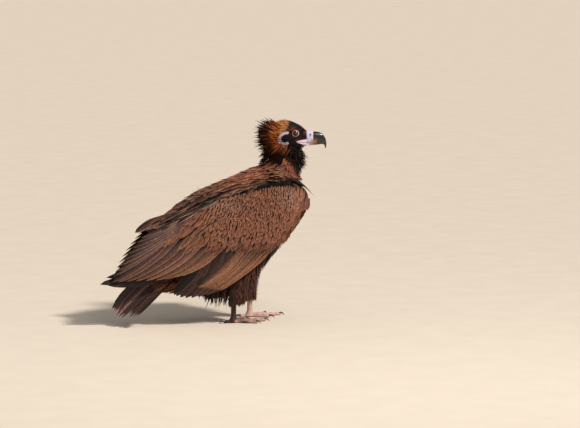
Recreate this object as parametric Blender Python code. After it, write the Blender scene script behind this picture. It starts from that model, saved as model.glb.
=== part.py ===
"""Cinereous vulture (Eurasian black vulture, Aegypius monachus), standing, life size.

The bird looks along +X and +Z is up; its left side is +Y. Stations and radii are in centimetres
and become metres in metres(). Every sub-part is one closed solid. Where a solid sits in its
neighbour, the neighbour is cut back by a slightly grown copy of it, which leaves a hair gap.
"""

import math

import bmesh
import bpy
from mathutils import Matrix, Vector
from mathutils.bvhtree import BVHTree

CM = 0.01
GAP = 0.0006  # how far a cutter is grown beyond the solid it makes room for
ROOM = 0.08  # the same for a wing, in centimetres
TAIL_ROOM = 0.12  # the same for the tail
RIGHT, LEFT = -1, 1

# Driving sizes, in centimetres.
HEAD_PLACE = Vector((12.5, -1.0, 62.0))  # the head's own origin, between the ears
HEAD_TURN = math.radians(-20)  # the head is turned to the bird's right
EYE = Vector((4.26, 2.3, 1.55))  # in the head's frame, left eye
EYE_RADIUS = 0.95
JOINT_LINE = 0.015  # half the gap where cere, bill and head meet
FOOT = {RIGHT: Vector((-6.8, -5.2, 0)), LEFT: Vector((2.6, 5.2, 0))}
FLAT = 0.0  # the level of the toes' flats and the claws' tips
WING_REACH = {RIGHT: 1.0, LEFT: 0.975}  # the left wing is folded a little tighter
FAN_THICKNESS = 0.25
FEATHER_STEP = 0.22  # how far a flight feather's edge stands over its neighbour

# Trunk: (back point x, z), (breast or belly point x, z), half width.
TRUNK = (
    ((7.5, 54.0), (17.6, 48.4), 5.2),
    ((4.0, 52.9), (19.2, 44.6), 7.4),
    ((-1.0, 51.0), (19.2, 38.5), 9.6),
    ((-6.3, 49.1), (16.9, 32.0), 11.1),
    ((-12.0, 47.2), (12.8, 26.5), 11.6),
    ((-17.5, 45.1), (9.0, 22.3), 11.2),
    ((-21.5, 43.0), (5.0, 17.4), 10.2),
    ((-24.6, 41.0), (-4.0, 11.5), 9.0),
    ((-28.0, 38.4), (-10.5, 7.4), 7.6),
    ((-31.0, 36.5), (-16.5, 9.6), 6.6),
    ((-33.5, 34.6), (-24.0, 10.2), 5.4),
    ((-35.0, 32.2), (-31.0, 10.9), 4.2),
)
BREAST_FULLNESS = 0.22  # how much wider the breast is than the back
TRUNK_END = (-36.5, 22.0)

# Neck and ruff: level (z), rear x, front x, half width, sideways shift.
NECK = (
    (45.0, 4.0, 17.0, 6.4, 0.0),
    (47.5, 4.4, 17.7, 6.6, 0.0),
    (50.2, 5.0, 18.8, 6.6, -0.1),
    (52.8, 5.6, 19.6, 6.5, -0.3),
    (55.0, 6.2, 19.9, 5.8, -0.6),
    (57.2, 7.2, 19.0, 5.0, -0.9),
    (59.5, 8.4, 17.4, 4.4, -1.0),
    (61.0, 9.5, 15.8, 3.4, -1.0),
)
RUFF = (
    (52.0, 7.4, 12.6, 5.0, -0.2),
    (54.0, 6.7, 13.4, 6.5, -0.4),
    (57.0, 5.1, 13.7, 7.2, -0.7),
    (60.0, 3.9, 13.2, 7.2, -0.9),
    (63.0, 3.3, 12.4, 6.5, -1.0),
    (65.6, 3.6, 11.6, 5.3, -1.0),
    (67.3, 4.8, 10.6, 3.7, -1.0),
    (68.1, 6.4, 9.6, 1.6, -1.0),
)
RUFF_TOP = (8.0, -1.0, 68.6)

# Head frame: x along the bill, station x, top z, bottom z, half width.
HEAD = (
    (-3.9, 3.0, -1.8, 1.6),
    (-3.1, 4.5, -3.6, 2.6),
    (-1.6, 5.45, -5.0, 3.2),
    (0.0, 5.85, -5.6, 3.45),
    (1.6, 5.9, -5.5, 3.5),
    (3.1, 5.45, -5.0, 3.3),
    (4.5, 4.85, -4.5, 2.95),
    (5.7, 4.1, -4.1, 2.45),
    (6.8, 3.3, -3.5, 1.95),
    (7.8, 2.5, -2.9, 1.6),
)
NAPE = (-4.3, 0, 0.8)  # where the head's solid closes behind, inside the ruff
CERE = (
    (7.8, 2.45, -1.95, 1.5),
    (8.9, 2.3, -2.1, 1.38),
    (9.6, 2.15, -2.2, 1.28),
    (10.3, 1.95, -2.3, 1.2),
)
LOWER_BILL = (
    (7.8, -2.05, -2.85, 1.16),
    (9.2, -2.1, -2.8, 1.0),
    (10.4, -2.1, -2.7, 0.84),
    (11.8, -2.2, -2.6, 0.6),
    (12.8, -2.25, -2.5, 0.24),
)
# Upper bill: (ridge x, z), (cutting edge x, z), half width.
UPPER_BILL = (
    ((10.3, 1.9), (10.3, -2.3), 1.2),
    ((11.35, 1.88), (11.3, -2.32), 1.16),
    ((12.45, 1.6), (12.3, -2.34), 1.04),
    ((13.45, 0.95), (13.1, -2.38), 0.86),
    ((14.25, -0.2), (13.75, -2.5), 0.62),
    ((14.65, -1.5), (14.05, -2.85), 0.4),
    ((14.68, -2.75), (14.2, -3.35), 0.22),
    ((14.45, -3.85), (14.36, -4.0), 0.06),
)

# Folded wing, right side: upper edge (x, z, distance from the middle), lower edge, bulge.
WING = (
    ((17.9, 45.7, 10.2), (18.3, 41.5, 12.4), 0.6),
    ((15.4, 47.3, 9.2), (17.5, 38.8, 13.8), 1.7),
    ((10.9, 48.3, 8.4), (14.8, 34.7, 14.8), 2.7),
    ((5.8, 48.4, 7.8), (10.8, 30.0, 15.1), 3.5),
    ((0.2, 47.3, 7.2), (5.4, 25.6, 14.9), 3.9),
    ((-5.3, 46.0, 6.8), (-1.0, 20.7, 14.3), 4.0),
    ((-12.5, 43.6, 6.8), (-8.0, 16.8, 13.4), 3.9),
    ((-19.7, 40.8, 6.6), (-15.0, 12.0, 12.0), 3.4),
    ((-26.8, 37.2, 6.2), (-22.5, 10.6, 10.2), 2.7),
    ((-33.8, 33.4, 5.6), (-30.5, 13.0, 8.4), 1.9),
    ((-40.7, 28.8, 4.6), (-38.0, 15.0, 6.6), 1.2),
    ((-47.2, 22.0, 3.2), (-45.0, 14.2, 4.6), 0.6),
    ((-53.0, 15.8, 2.2), (-53.0, 14.8, 2.6), 0.1),
)
# Share of each wing section that the coverts take, from the upper edge down, to station 9.
COVERTS = (1.0, 1.0, 1.0, 1.0, 0.985, 0.78, 0.64, 0.50, 0.32, 0.08)
ARM_THICKNESS = 2.3
ARM_RIM = 1.5

# Guide feathers of each fan: root (x, z) and tip (x, z).
SECONDARIES = (
    ((3.4, 25.0), (0.6, 21.4)),
    ((-0.5, 25.0), (-7.8, 16.6)),
    ((-6.0, 26.0), (-14.2, 11.8)),
    ((-11.0, 26.0), (-21.0, 10.0)),
    ((-15.5, 25.0), (-28.0, 9.8)),
)
TERTIALS = (
    ((-9.2, 25.6), (-14.0, 21.2)),
    ((-13.5, 26.2), (-24.0, 16.0)),
    ((-19.0, 26.6), (-37.0, 15.2)),
    ((-24.5, 28.0), (-46.5, 13.9)),
    ((-29.0, 31.0), (-49.5, 17.0)),
    ((-31.5, 34.0), (-47.0, 22.3)),
    ((-33.0, 35.6), (-43.0, 28.2)),
)
PRIMARIES = (
    ((-34.0, 17.6), (-49.8, 14.4)),
    ((-34.0, 20.0), (-52.6, 15.2)),
    ((-34.0, 22.6), (-51.0, 17.8)),
    ((-34.0, 25.0), (-48.6, 21.0)),
)
FANS = {  # fan: guides, feathers, inset of its outer face below the wing's surface
    "secondaries": (SECONDARIES, 7, 0.95),
    "tertials": (TERTIALS, 8, 0.35),
    "primaries": (PRIMARIES, 4, 1.55),
}

# Tail, turned a little to the right: root, tip and upward bow of its guide feathers, left edge first.
TAIL_FEATHERS = 12
TAIL = (
    ((-22.5, 2.6, 21.2), (-47.4, 5.0, 6.2), 3.4),
    ((-22.2, 1.5, 21.0), (-47.2, 2.2, 4.9), 3.0),
    ((-22.0, 0.0, 20.6), (-46.2, -1.2, 3.6), 2.4),
    ((-22.2, -1.5, 19.9), (-44.8, -4.8, 3.2), 1.6),
    ((-22.6, -2.6, 19.0), (-42.4, -8.2, 4.2), 0.8),
)
TAIL_ABOVE, TAIL_BELOW = 0.22, 0.30  # the step of a tail feather over its neighbour, and its depth below

# The left wing's inner feather that stands off the back's outline.
RAISED_ROOT, RAISED_TIP = (-29.5, 4.2, 36.4), (-38.7, 4.4, 31.2)
RAISED_HALF_WIDTH = 2.1
RAISED_BOW = 0.45  # how high it arches along its length
RAISED_CAMBER = 0.35  # how far its edges fall
RAISED_HALF_THICKNESS = 0.12

# Trousers: level (z), centre x, centre y, half length, half width (right leg; the left has its own).
TROUSERS = {
    RIGHT: (
        (24.0, -2.2, -6.2, 6.6, 4.6),
        (19.0, -2.8, -6.0, 6.1, 4.4),
        (14.5, -3.8, -5.7, 5.3, 3.9),
        (10.5, -4.8, -5.4, 4.4, 3.3),
        (7.4, -5.6, -5.2, 3.2, 2.6),
        (5.4, -6.1, -5.2, 2.0, 1.8),
    ),
    LEFT: (
        (24.0, 0.2, 6.2, 6.4, 4.6),
        (19.0, 0.6, 6.0, 5.9, 4.4),
        (14.5, 1.2, 5.7, 4.8, 3.9),
        (10.5, 1.7, 5.4, 3.9, 3.3),
        (7.0, 2.2, 5.2, 2.8, 2.4),
        (4.6, 2.6, 5.2, 1.7, 1.6),
    ),
}
TROUSER_DROP = 0.9  # how far a thigh's plumage runs on below its last ring
TARSUS = ((1.3, 1.05, 0.95), (3.0, 0.85, 0.8), (6.0, 0.85, 0.8), (9.5, 1.1, 1.0))  # level, half sizes
PAD = (1.75, 1.5, 1.15)  # half length, half width and height of the foot's middle
PAD_LEVELS = ((0.06, 0.80), (0.35, 0.97), (0.75, 1.0), (1.15, 0.88), (1.5, 0.62))  # shares of height, widths
TOE_START = 0.9  # how far from the leg's middle a toe begins
PAD_SPACING = 2.4  # from one swelling under a toe to the next
TOES = (  # heading from straight ahead towards the outside, length, radius at the root and tip, claw
    ("inner", math.radians(-34), 6.2, 0.82, 0.62, 2.5),
    ("middle", math.radians(2), 10.4, 0.85, 0.56, 2.2),
    ("outer", math.radians(32), 7.4, 0.78, 0.52, 1.8),
    ("hind", math.radians(176), 2.6, 0.78, 0.60, 2.5),
)
CLAW_RADIUS = 0.44


def metres(point):
    return Vector(point) * CM


def clear_scene():
    for thing in list(bpy.data.objects):
        bpy.data.objects.remove(thing)


def material(name, colour, roughness):
    """One Principled material, made once for each name."""
    if name in bpy.data.materials:
        return bpy.data.materials[name]
    made = bpy.data.materials.new(name)
    made.use_nodes = True
    shader = made.node_tree.nodes["Principled BSDF"]
    shader.inputs["Base Color"].default_value = (*colour, 1.0)
    shader.inputs["Roughness"].default_value = roughness
    shader.inputs["Metallic"].default_value = 0.0
    return made


def finishes():
    return {
        "plumage": material("plumage", (0.115, 0.052, 0.028), 0.75),
        "flight": material("flight_feathers", (0.070, 0.036, 0.024), 0.6),
        "ruff": material("ruff", (0.130, 0.052, 0.020), 0.8),
        "skin": material("bare_skin", (0.62, 0.50, 0.56), 0.5),
        "horn": material("horn", (0.035, 0.032, 0.034), 0.3),
        "eye": material("eye", (0.012, 0.008, 0.008), 0.08),
        "leg": material("leg_scales", (0.60, 0.42, 0.38), 0.55),
    }


def smooth_through(points, share):
    """The point at a share, 0 to 1, of a Catmull-Rom curve through equally spaced points."""
    last = len(points) - 1
    place = min(max(share, 0.0), 1.0) * last
    at = min(int(place), last - 1)
    t = place - at
    p1, p2 = points[at], points[at + 1]
    p0 = points[at - 1] if at else [2 * a - b for a, b in zip(p1, p2)]
    p3 = points[at + 2] if at + 2 <= last else [2 * b - a for a, b in zip(p1, p2)]
    return [
        0.5 * (2 * b + (c - a) * t + (2 * a - 5 * b + 4 * c - d) * t * t + (3 * b - a - 3 * c + d) * t**3)
        for a, b, c, d in zip(p0, p1, p2, p3)
    ]


def flattened(station):
    """A station's numbers in one flat list."""
    flat = []
    for item in station:
        flat += flattened(item) if isinstance(item, (tuple, list)) else [item]
    return flat


def resampled(stations, count):
    flat = [flattened(s) for s in stations]
    return [smooth_through(flat, i / (count - 1)) for i in range(count)]


def oval(sides, half_across, half_along, squareness=2.2, start=0.0):
    """Points round a super-ellipse: pairs of (across, along). start is a share of one side."""
    points = []
    for i in range(sides):
        turn = 2 * math.pi * (i + start) / sides
        c, s = math.cos(turn), math.sin(turn)
        across = math.copysign(abs(c) ** (2 / squareness), c)
        along = math.copysign(abs(s) ** (2 / squareness), s)
        points.append((half_across * across, half_along * along))
    return points


def solid(name, points, faces, finish, place=Matrix.Identity(4)):
    """One closed mesh object from points in centimetres, its faces turned outwards."""
    mesh = bpy.data.meshes.new(name)
    mesh.from_pydata([metres(place @ Vector(p)) for p in points], [], faces)
    work = bmesh.new()
    work.from_mesh(mesh)
    bmesh.ops.recalc_face_normals(work, faces=work.faces)
    if work.calc_volume(signed=True) < 0:
        bmesh.ops.reverse_faces(work, faces=work.faces)
    work.to_mesh(mesh)
    work.free()
    thing = bpy.data.objects.new(name, mesh)
    thing.data.materials.append(finish)
    thing.data.shade_smooth()
    thing.data.set_sharp_from_angle(angle=math.radians(45))
    bpy.context.scene.collection.objects.link(thing)
    return thing


def loft(name, rings, finish, place=Matrix.Identity(4), start=None, end=None):
    """A solid through rings of equal size, closed flat or drawn to the point start or end."""
    sides = len(rings[0])
    points = [p for ring in rings for p in ring]
    faces = []
    for i in range(len(rings) - 1):
        for j in range(sides):
            k = (j + 1) % sides
            faces.append((i * sides + j, i * sides + k, (i + 1) * sides + k, (i + 1) * sides + j))
    for pole, base in ((start, 0), (end, (len(rings) - 1) * sides)):
        ring = [base + j for j in range(sides)]
        if pole is None:
            faces.append(tuple(ring))
            continue
        points.append(pole)
        for j in range(sides):
            faces.append((ring[j], ring[(j + 1) % sides], len(points) - 1))
    return solid(name, points, faces, finish, place)


def sheet(name, outer, inner, finish):
    """A closed plate between two grids of points: outer[i][j] and inner[i][j]."""
    rows, columns = len(outer), len(outer[0])
    points = [p for row in outer for p in row] + [p for row in inner for p in row]
    under = rows * columns
    faces = []
    for i in range(rows - 1):
        for j in range(columns - 1):
            a, b = i * columns + j, i * columns + j + 1
            c, d = b + columns, a + columns
            faces += [(a, b, c, d), (under + d, under + c, under + b, under + a)]
    rim = [i * columns for i in range(rows)]
    rim += [(rows - 1) * columns + j for j in range(1, columns)]
    rim += [i * columns + columns - 1 for i in range(rows - 2, -1, -1)]
    rim += [j for j in range(columns - 2, 0, -1)]
    for a, b in zip(rim, rim[1:] + rim[:1]):
        faces.append((a, b, under + b, under + a))
    return solid(name, points, faces, finish)


def grown_copy(thing, by=GAP):
    """A hidden cutter: the thing moved out along its normals."""
    mesh = thing.data.copy()
    work = bmesh.new()
    work.from_mesh(mesh)
    work.normal_update()
    for vertex in work.verts:
        vertex.co += vertex.normal * by * vertex.calc_shell_factor()
    work.to_mesh(mesh)
    work.free()
    cutter = bpy.data.objects.new("room_for_" + thing.name, mesh)
    cutter.hide_render = True
    cutter.display_type = "WIRE"
    bpy.context.scene.collection.objects.link(cutter)
    return cutter


def apply_modifiers(thing):
    graph = bpy.context.evaluated_depsgraph_get()
    mesh = bpy.data.meshes.new_from_object(thing.evaluated_get(graph))
    thing.modifiers.clear()
    thing.data = mesh


def boolean(thing, other, operation):
    modifier = thing.modifiers.new("with_" + other.name, "BOOLEAN")
    modifier.operation = operation
    modifier.solver = "EXACT"
    modifier.use_self = True
    modifier.object = other
    apply_modifiers(thing)


def make_room(thing, *others):
    """Cuts grown copies of the others out of the thing, and keeps its largest piece."""
    cut_away(thing, *[grown_copy(other) for other in others])


def cut_away(thing, *cutters):
    """Cuts the cutters out of the thing, drops them, and keeps the thing's largest piece."""
    for cutter in cutters:
        boolean(thing, cutter, "DIFFERENCE")
        bpy.data.objects.remove(cutter)
    keep_largest(thing)


def spread(faces):
    """The volume of the box round some faces."""
    points = [v.co for face in faces for v in face.verts]
    sides = [max(p[k] for p in points) - min(p[k] for p in points) for k in range(3)]
    return sides[0] * sides[1] * sides[2]


def keep_largest(thing):
    """Drops the crumbs that a cut leaves: all but the largest piece joined by edges of two faces."""
    work = bmesh.new()
    work.from_mesh(thing.data)
    left, pieces = set(work.faces), []
    while left:
        found, todo = set(), [left.pop()]
        while todo:
            face = todo.pop()
            found.add(face)
            for edge in face.edges:
                for other in edge.link_faces if len(edge.link_faces) == 2 else ():
                    if other in left:
                        left.remove(other)
                        todo.append(other)
        pieces.append(found)
    pieces.sort(key=spread)
    for crumbs in pieces[:-1]:
        bmesh.ops.delete(work, geom=list(crumbs), context="FACES")
    work.to_mesh(thing.data)
    work.free()


def head_matrix():
    return Matrix.Translation(HEAD_PLACE) @ Matrix.Rotation(HEAD_TURN, 4, "Z")


def build_trunk(finish):
    rings = []
    for back_x, back_z, front_x, front_z, half_width in resampled(TRUNK, 14):
        back, front = Vector((back_x, 0, back_z)), Vector((front_x, 0, front_z))
        middle, reach = (back + front) / 2, (back - front) / 2
        ring = []
        for across, along in oval(16, half_width, 1.0, 2.05):
            across *= 1 - BREAST_FULLNESS * along
            ring.append(middle + reach * along + Vector((0, across, 0)))
        rings.append(ring)
    return loft("trunk", rings, finish, end=Vector((TRUNK_END[0], 0, TRUNK_END[1])))


def build_upright(name, levels, count, finish, squareness=2.1, top=None):
    """A loft of level rings, for the neck and the ruff."""
    rings = []
    for level, rear, front, half_width, shift in resampled(levels, count):
        middle = Vector(((rear + front) / 2, shift, level))
        outline = oval(16, half_width, (front - rear) / 2, squareness)
        rings.append([middle + Vector((along, across, 0)) for across, along in outline])
    return loft(name, rings, finish, end=top)


def head_rings(stations, count, sides, squareness, trim_start=0.0, trim_end=0.0):
    """Upright rings across the head's own x axis."""
    rings = []
    sampled = resampled(stations, count)
    for i, (x, top, bottom, half_width) in enumerate(sampled):
        x += trim_start if i == 0 else 0.0
        x -= trim_end if i == count - 1 else 0.0
        middle = Vector((x, 0, (top + bottom) / 2))
        outline = oval(sides, half_width, (top - bottom) / 2, squareness)
        rings.append([middle + Vector((0, across, along)) for across, along in outline])
    return rings


def build_head(looks):
    place = head_matrix()
    rings = head_rings(HEAD, 11, 14, 2.15, trim_end=JOINT_LINE)
    head = loft("head", rings, looks["plumage"], place, start=Vector(NAPE))
    cere = loft("cere", head_rings(CERE, 4, 14, 2.3, JOINT_LINE, JOINT_LINE), looks["skin"], place)
    lower = loft("bill_lower", head_rings(LOWER_BILL, 5, 12, 2.3, JOINT_LINE), looks["horn"], place)
    upper = build_upper_bill(looks["horn"], place)
    make_room(lower, upper, cere)
    eyes = []
    for side, name in ((RIGHT, "eye_right"), (LEFT, "eye_left")):
        eyes.append(build_eye(name, Vector((EYE.x, EYE.y * side, EYE.z)), looks["eye"], place))
    make_room(head, *eyes)
    return head


def build_upper_bill(finish, place):
    """The hooked upper bill: ovals that stand between its ridge and its cutting edge."""
    rings = []
    for i, (ridge_x, ridge_z, edge_x, edge_z, half_width) in enumerate(resampled(UPPER_BILL, 8)):
        ridge, edge = Vector((ridge_x, 0, ridge_z)), Vector((edge_x, 0, edge_z))
        middle, reach = (ridge + edge) / 2, (ridge - edge) / 2
        middle.x += JOINT_LINE if i == 0 else 0.0
        rings.append([middle + reach * v + Vector((0, u, 0)) for u, v in oval(12, half_width, 1.0, 2.2)])
    return loft("bill_upper", rings, finish, place)


def build_eye(name, middle, finish, place):
    rings = []
    bands, sides = 5, 10
    for i in range(1, bands):
        turn = math.pi * i / bands
        radius, height = EYE_RADIUS * math.sin(turn), EYE_RADIUS * math.cos(turn)
        outline = oval(sides, radius, radius, 2.0)
        rings.append([middle + Vector((u, v, height)) for u, v in outline])
    top, bottom = middle + Vector((0, 0, EYE_RADIUS)), middle - Vector((0, 0, EYE_RADIUS))
    return loft(name, rings, finish, place, start=top, end=bottom)


def wing_point(section, share, side, inset=0.0):
    """A point of the folded wing's outer surface: section is a row of WING's numbers."""
    tx, tz, ty, bx, bz, by, bulge = section
    out = ty + (by - ty) * share + bulge * 4 * share * (1 - share) - inset
    x = tx + (bx - tx) * share
    reach = WING_REACH[side]
    return Vector((x * reach if x < 0 else x, side * out, tz + (bz - tz) * share))


def wing_surface(side):
    """The folded wing's whole outer surface, run on past its edges, to lay feathers on."""
    sections = resampled(WING, 41)
    shares = [-0.12 + 1.34 * j / 26 for j in range(27)]
    points = [wing_point(s, h, side) for s in sections for h in shares]
    faces = []
    for i in range(len(sections) - 1):
        for j in range(len(shares) - 1):
            a = i * len(shares) + j
            faces.append((a, a + 1, a + 1 + len(shares), a + len(shares)))
    return BVHTree.FromPolygons(points, faces)


def on_wing(surface, side, x, z, inset):
    """The point over (x, z) that lies inset below the wing's outer surface."""
    start = Vector((x, side * 40.0, z))
    hit = surface.ray_cast(start, Vector((0, -side, 0)))[0]
    if hit is None:
        hit = surface.find_nearest(Vector((x, side * 8.0, z)))[0]
    return Vector((x, hit.y - side * inset, z))


def build_arm(side, name, finish, room=0.0):
    """The part of the wing that the coverts round off: shoulder, forearm and wrist."""
    across = 7
    stations = resampled([w + (c,) for w, c in zip(WING, COVERTS)], 13)
    outer, inner = [], []
    for i, section in enumerate(stations):
        share = section[7]
        outer_row, inner_row = [], []
        end = room * ((i == 0) - (i == len(stations) - 1))
        for j in range(across):
            step = j / (across - 1)
            edge = room * ((j == 0) - (j == across - 1)) / 10
            point = wing_point(section[:7], share * step - edge, side) + Vector((end, 0, 0))
            fullness = 4 * step * (1 - step) * min(1.0, 2.5 * share)
            depth = ARM_RIM + (ARM_THICKNESS - ARM_RIM) * fullness
            outer_row.append(point + Vector((0, side * room, 0)))
            inner_row.append(point - Vector((0, side * (depth + room), 0)))
        outer.append(outer_row)
        inner.append(inner_row)
    return sheet(name, outer, inner, finish)


def fan_columns(feathers, plain=False):
    """Columns across a fan, three for each feather: (place in feathers, lift, tip share)."""
    columns = []
    for k in range(feathers):
        columns += [(k + 0.02, 0.0, 0.935), (k + 0.14, 1.0, 0.965), (k + 0.60, 0.5, 1.0)]
    columns.append((float(feathers), 0.0, 0.94))
    return [(place, 1.0, tip) for place, lift, tip in columns] if plain else columns


def build_fan(side, fan, name, finish, surface):
    guides, feathers, inset = FANS[fan]
    flat = [flattened(g) for g in guides]
    rows = 4
    outer, inner = [], []
    for place, lift, tip_share in fan_columns(feathers):
        rx, rz, tx, tz = smooth_through(flat, place / feathers)
        outer_row, inner_row = [], []
        for i in range(rows):
            t = tip_share * i / (rows - 1)
            x, z = rx + (tx - rx) * t, rz + (tz - rz) * t
            x = x * WING_REACH[side] if x < 0 else x
            taper = 1.0 - 0.75 * t**3
            high = inset - lift * FEATHER_STEP * taper
            outer_row.append(on_wing(surface, side, x, z, high))
            inner_row.append(on_wing(surface, side, x, z, inset + FAN_THICKNESS * taper))
        outer.append(outer_row)
        inner.append(inner_row)
    return sheet(name, outer, inner, finish)


def build_tail(finish, room=0.0):
    """Twelve feathers fanned from the tail's root, as one stepped plate, the middle pair on top."""
    flat = [flattened(g) for g in TAIL]
    rows = 4
    outer, inner = [], []
    for at, lift, tip_share in fan_columns(TAIL_FEATHERS, plain=room > 0):
        share = at / TAIL_FEATHERS
        numbers = smooth_through(flat, share)
        root, tip, bow = Vector(numbers[0:3]), Vector(numbers[3:6]), numbers[6]
        fold = lift if share > 0.5 or room else 1.0 - lift
        outer_row, inner_row = [], []
        for i in range(rows):
            t = tip_share * i / (rows - 1)
            taper = 1.0 - 0.7 * t**2
            point = root.lerp(tip, t) + Vector((0, 0, bow * 4 * t * (1 - t)))
            point += (root - tip).normalized() * room * 2 * (i == 0)
            point.y += room * 4 * ((share == 0) - (share == 1))
            outer_row.append(point + Vector((0, 0, TAIL_ABOVE * fold * taper + room)))
            inner_row.append(point - Vector((0, 0, TAIL_BELOW * taper + room)))
        outer.append(outer_row)
        inner.append(inner_row)
    return sheet("tail", outer, inner, finish)


def build_raised_feather(finish):
    """The rounded inner feather of the left wing that stands off the back's outline."""
    root, tip = Vector(RAISED_ROOT), Vector(RAISED_TIP)
    half = Vector((0, 0, RAISED_HALF_THICKNESS))
    outer, inner = [], []
    for across in (-1.0, -0.5, 0.0, 0.5, 1.0):
        row = []
        for i in range(6):
            t = i / 5
            width = RAISED_HALF_WIDTH * math.sin(math.pi * (0.12 + 0.80 * t)) ** 0.6
            rise = RAISED_BOW * 4 * t * (1 - t) - RAISED_CAMBER * across**2
            row.append(root.lerp(tip, t) + Vector((0, width * across, rise)))
        outer.append([point + half for point in row])
        inner.append([point - half for point in row])
    return sheet("raised_feather_left", outer, inner, finish)


def build_trousers(side, name, finish):
    rings = []
    for level, x, y, half_length, half_width in resampled(TROUSERS[side], 7):
        outline = oval(14, half_width, half_length, 2.0)
        rings.append([Vector((x + along, y + across, level)) for across, along in outline])
    level, x, y = TROUSERS[side][-1][:3]
    return loft(name, rings, finish, end=Vector((x, y, level - TROUSER_DROP)))


def build_tarsus(side, name, finish):
    rings = []
    for level, half_length, half_width in resampled(TARSUS, 4):
        outline = oval(12, half_width, half_length, 2.2)
        rings.append([FOOT[side] + Vector((along, across, level)) for across, along in outline])
    return loft(name, rings, finish)


def toe_path(side, heading, length, share):
    """Where a toe's middle runs over the ground, and which way it heads."""
    turn = side * heading
    ahead = Vector((math.cos(turn), math.sin(turn), 0))
    return FOOT[side] + ahead * (TOE_START + length * share), ahead


def build_toe(side, toe, name, finish):
    _, heading, length, root, tip, _ = toe
    rings = []
    count = 6
    for i in range(count):
        share = i / (count - 1)
        middle, ahead = toe_path(side, heading, length, share)
        knuckle = 0.5 + 0.5 * math.cos(2 * math.pi * share * round(length / PAD_SPACING))
        radius = (root + (tip - root) * share) * (0.93 + 0.11 * knuckle)
        radius *= 0.72 if i == count - 1 else 1.0
        sideways = Vector((-ahead.y, ahead.x, 0))
        ring = []
        for u, v in oval(8, radius, radius, 2.1, 0.5):
            height = max(v + radius * 0.82, FLAT)
            ring.append(middle + sideways * u + Vector((0, 0, height)))
        rings.append(ring)
    return loft(name, rings, finish)


def build_claw(side, toe, name, finish):
    _, heading, length, _, _, claw = toe
    rings = []
    base, ahead = toe_path(side, heading, length, 0.985)
    sideways = Vector((-ahead.y, ahead.x, 0))
    count = 5
    for i in range(count):
        share = i / (count - 1)
        turn = math.radians(12 - 66 * share)
        along = claw * (share - 0.10 * share**2)
        rise = 0.62 + 0.34 * math.sin(math.pi * min(1.0, share * 1.1)) - 0.57 * share**2
        radius = max(CLAW_RADIUS * (1 - share) ** 0.7, 0.05)
        upward = ahead * -math.sin(turn) + Vector((0, 0, math.cos(turn)))
        middle = base + ahead * (along - 0.35) + Vector((0, 0, rise))
        ring = [middle + sideways * u * 0.8 + upward * v for u, v in oval(6, radius, radius, 2.0)]
        for point in ring:
            point.z = max(point.z, FLAT)
        rings.append(ring)
    return loft(name, rings, finish)


def build_foot(side, word, looks):
    """The pad with its four toes as one solid, its claws, and the lower leg that it returns."""
    half_length, half_width, height = PAD
    rings = []
    for level, share in PAD_LEVELS:
        outline = oval(12, half_width * share, half_length * share, 2.1)
        rings.append([FOOT[side] + Vector((along, across, level * height)) for across, along in outline])
    foot = loft("foot_" + word, rings, looks["leg"])
    claws = []
    for toe in TOES:
        piece = build_toe(side, toe, "toe", looks["leg"])
        boolean(foot, piece, "UNION")
        bpy.data.objects.remove(piece)
        claws.append(build_claw(side, toe, f"claw_{word}_{toe[0]}", looks["horn"]))
    tarsus = build_tarsus(side, "tarsus_" + word, looks["leg"])
    make_room(foot, tarsus, *claws)
    return tarsus


def build_wing(side, word, looks):
    """The wing's arm and its three fans of long feathers; returns the uppermost fan."""
    surface = wing_surface(side)
    arm = build_arm(side, "wing_arm_" + word, looks["plumage"])
    fans = [build_fan(side, fan, f"{fan}_{word}", looks["flight"], surface) for fan in FANS]
    secondaries, tertials, primaries = fans
    make_room(secondaries, arm, tertials)
    make_room(tertials, arm)
    make_room(primaries, tertials, secondaries)
    return tertials


def stand_on_origin():
    """Moves everything so that the origin is under the middle of the whole bird's box."""
    points = []
    for thing in bpy.context.scene.objects:
        points += [thing.matrix_world @ v.co for v in thing.data.vertices]
    low = Vector([min(p[k] for p in points) for k in range(3)])
    high = Vector([max(p[k] for p in points) for k in range(3)])
    shift = Vector((-(low.x + high.x) / 2, -(low.y + high.y) / 2, -low.z))
    for thing in bpy.context.scene.objects:
        thing.data.transform(Matrix.Translation(shift))
        thing.data.update()


def main():
    clear_scene()
    looks = finishes()
    trunk = build_trunk(looks["plumage"])
    neck = build_upright("neck", NECK, 8, looks["plumage"])
    ruff = build_upright("ruff", RUFF, 8, looks["ruff"], 2.0, top=Vector(RUFF_TOP))
    head = build_head(looks)
    tertials, trousers = {}, []
    for side, word in ((RIGHT, "right"), (LEFT, "left")):
        tertials[side] = build_wing(side, word, looks)
        tarsus = build_foot(side, word, looks)
        trousers.append(build_trousers(side, "trousers_" + word, looks["plumage"]))
        make_room(trousers[-1], tarsus)
    tail = build_tail(looks["flight"])
    make_room(tail, *tertials.values())
    raised = build_raised_feather(looks["flight"])
    for part in (neck, trunk):
        for side in (RIGHT, LEFT):
            cut_away(part, build_arm(side, "room_for_arm", looks["plumage"], room=ROOM))
    make_room(neck, head)
    make_room(ruff, head, neck)
    cut_away(trunk, build_tail(looks["flight"], room=TAIL_ROOM))
    make_room(trunk, neck, ruff, *trousers, raised)
    make_room(tertials[LEFT], raised)
    stand_on_origin()


main()
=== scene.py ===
"""Looks of a young cinereous vulture that stands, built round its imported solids.

Shapes are worked out in centimetres in the bird's own frame, with its origin on the floor between the feet,
+X forward, +Y to its left and +Z up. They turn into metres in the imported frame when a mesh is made.
"""

import math

import bpy
import numpy as np
from mathutils import Matrix, Vector
from mathutils.bvhtree import BVHTree
from mathutils.kdtree import KDTree


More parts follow.
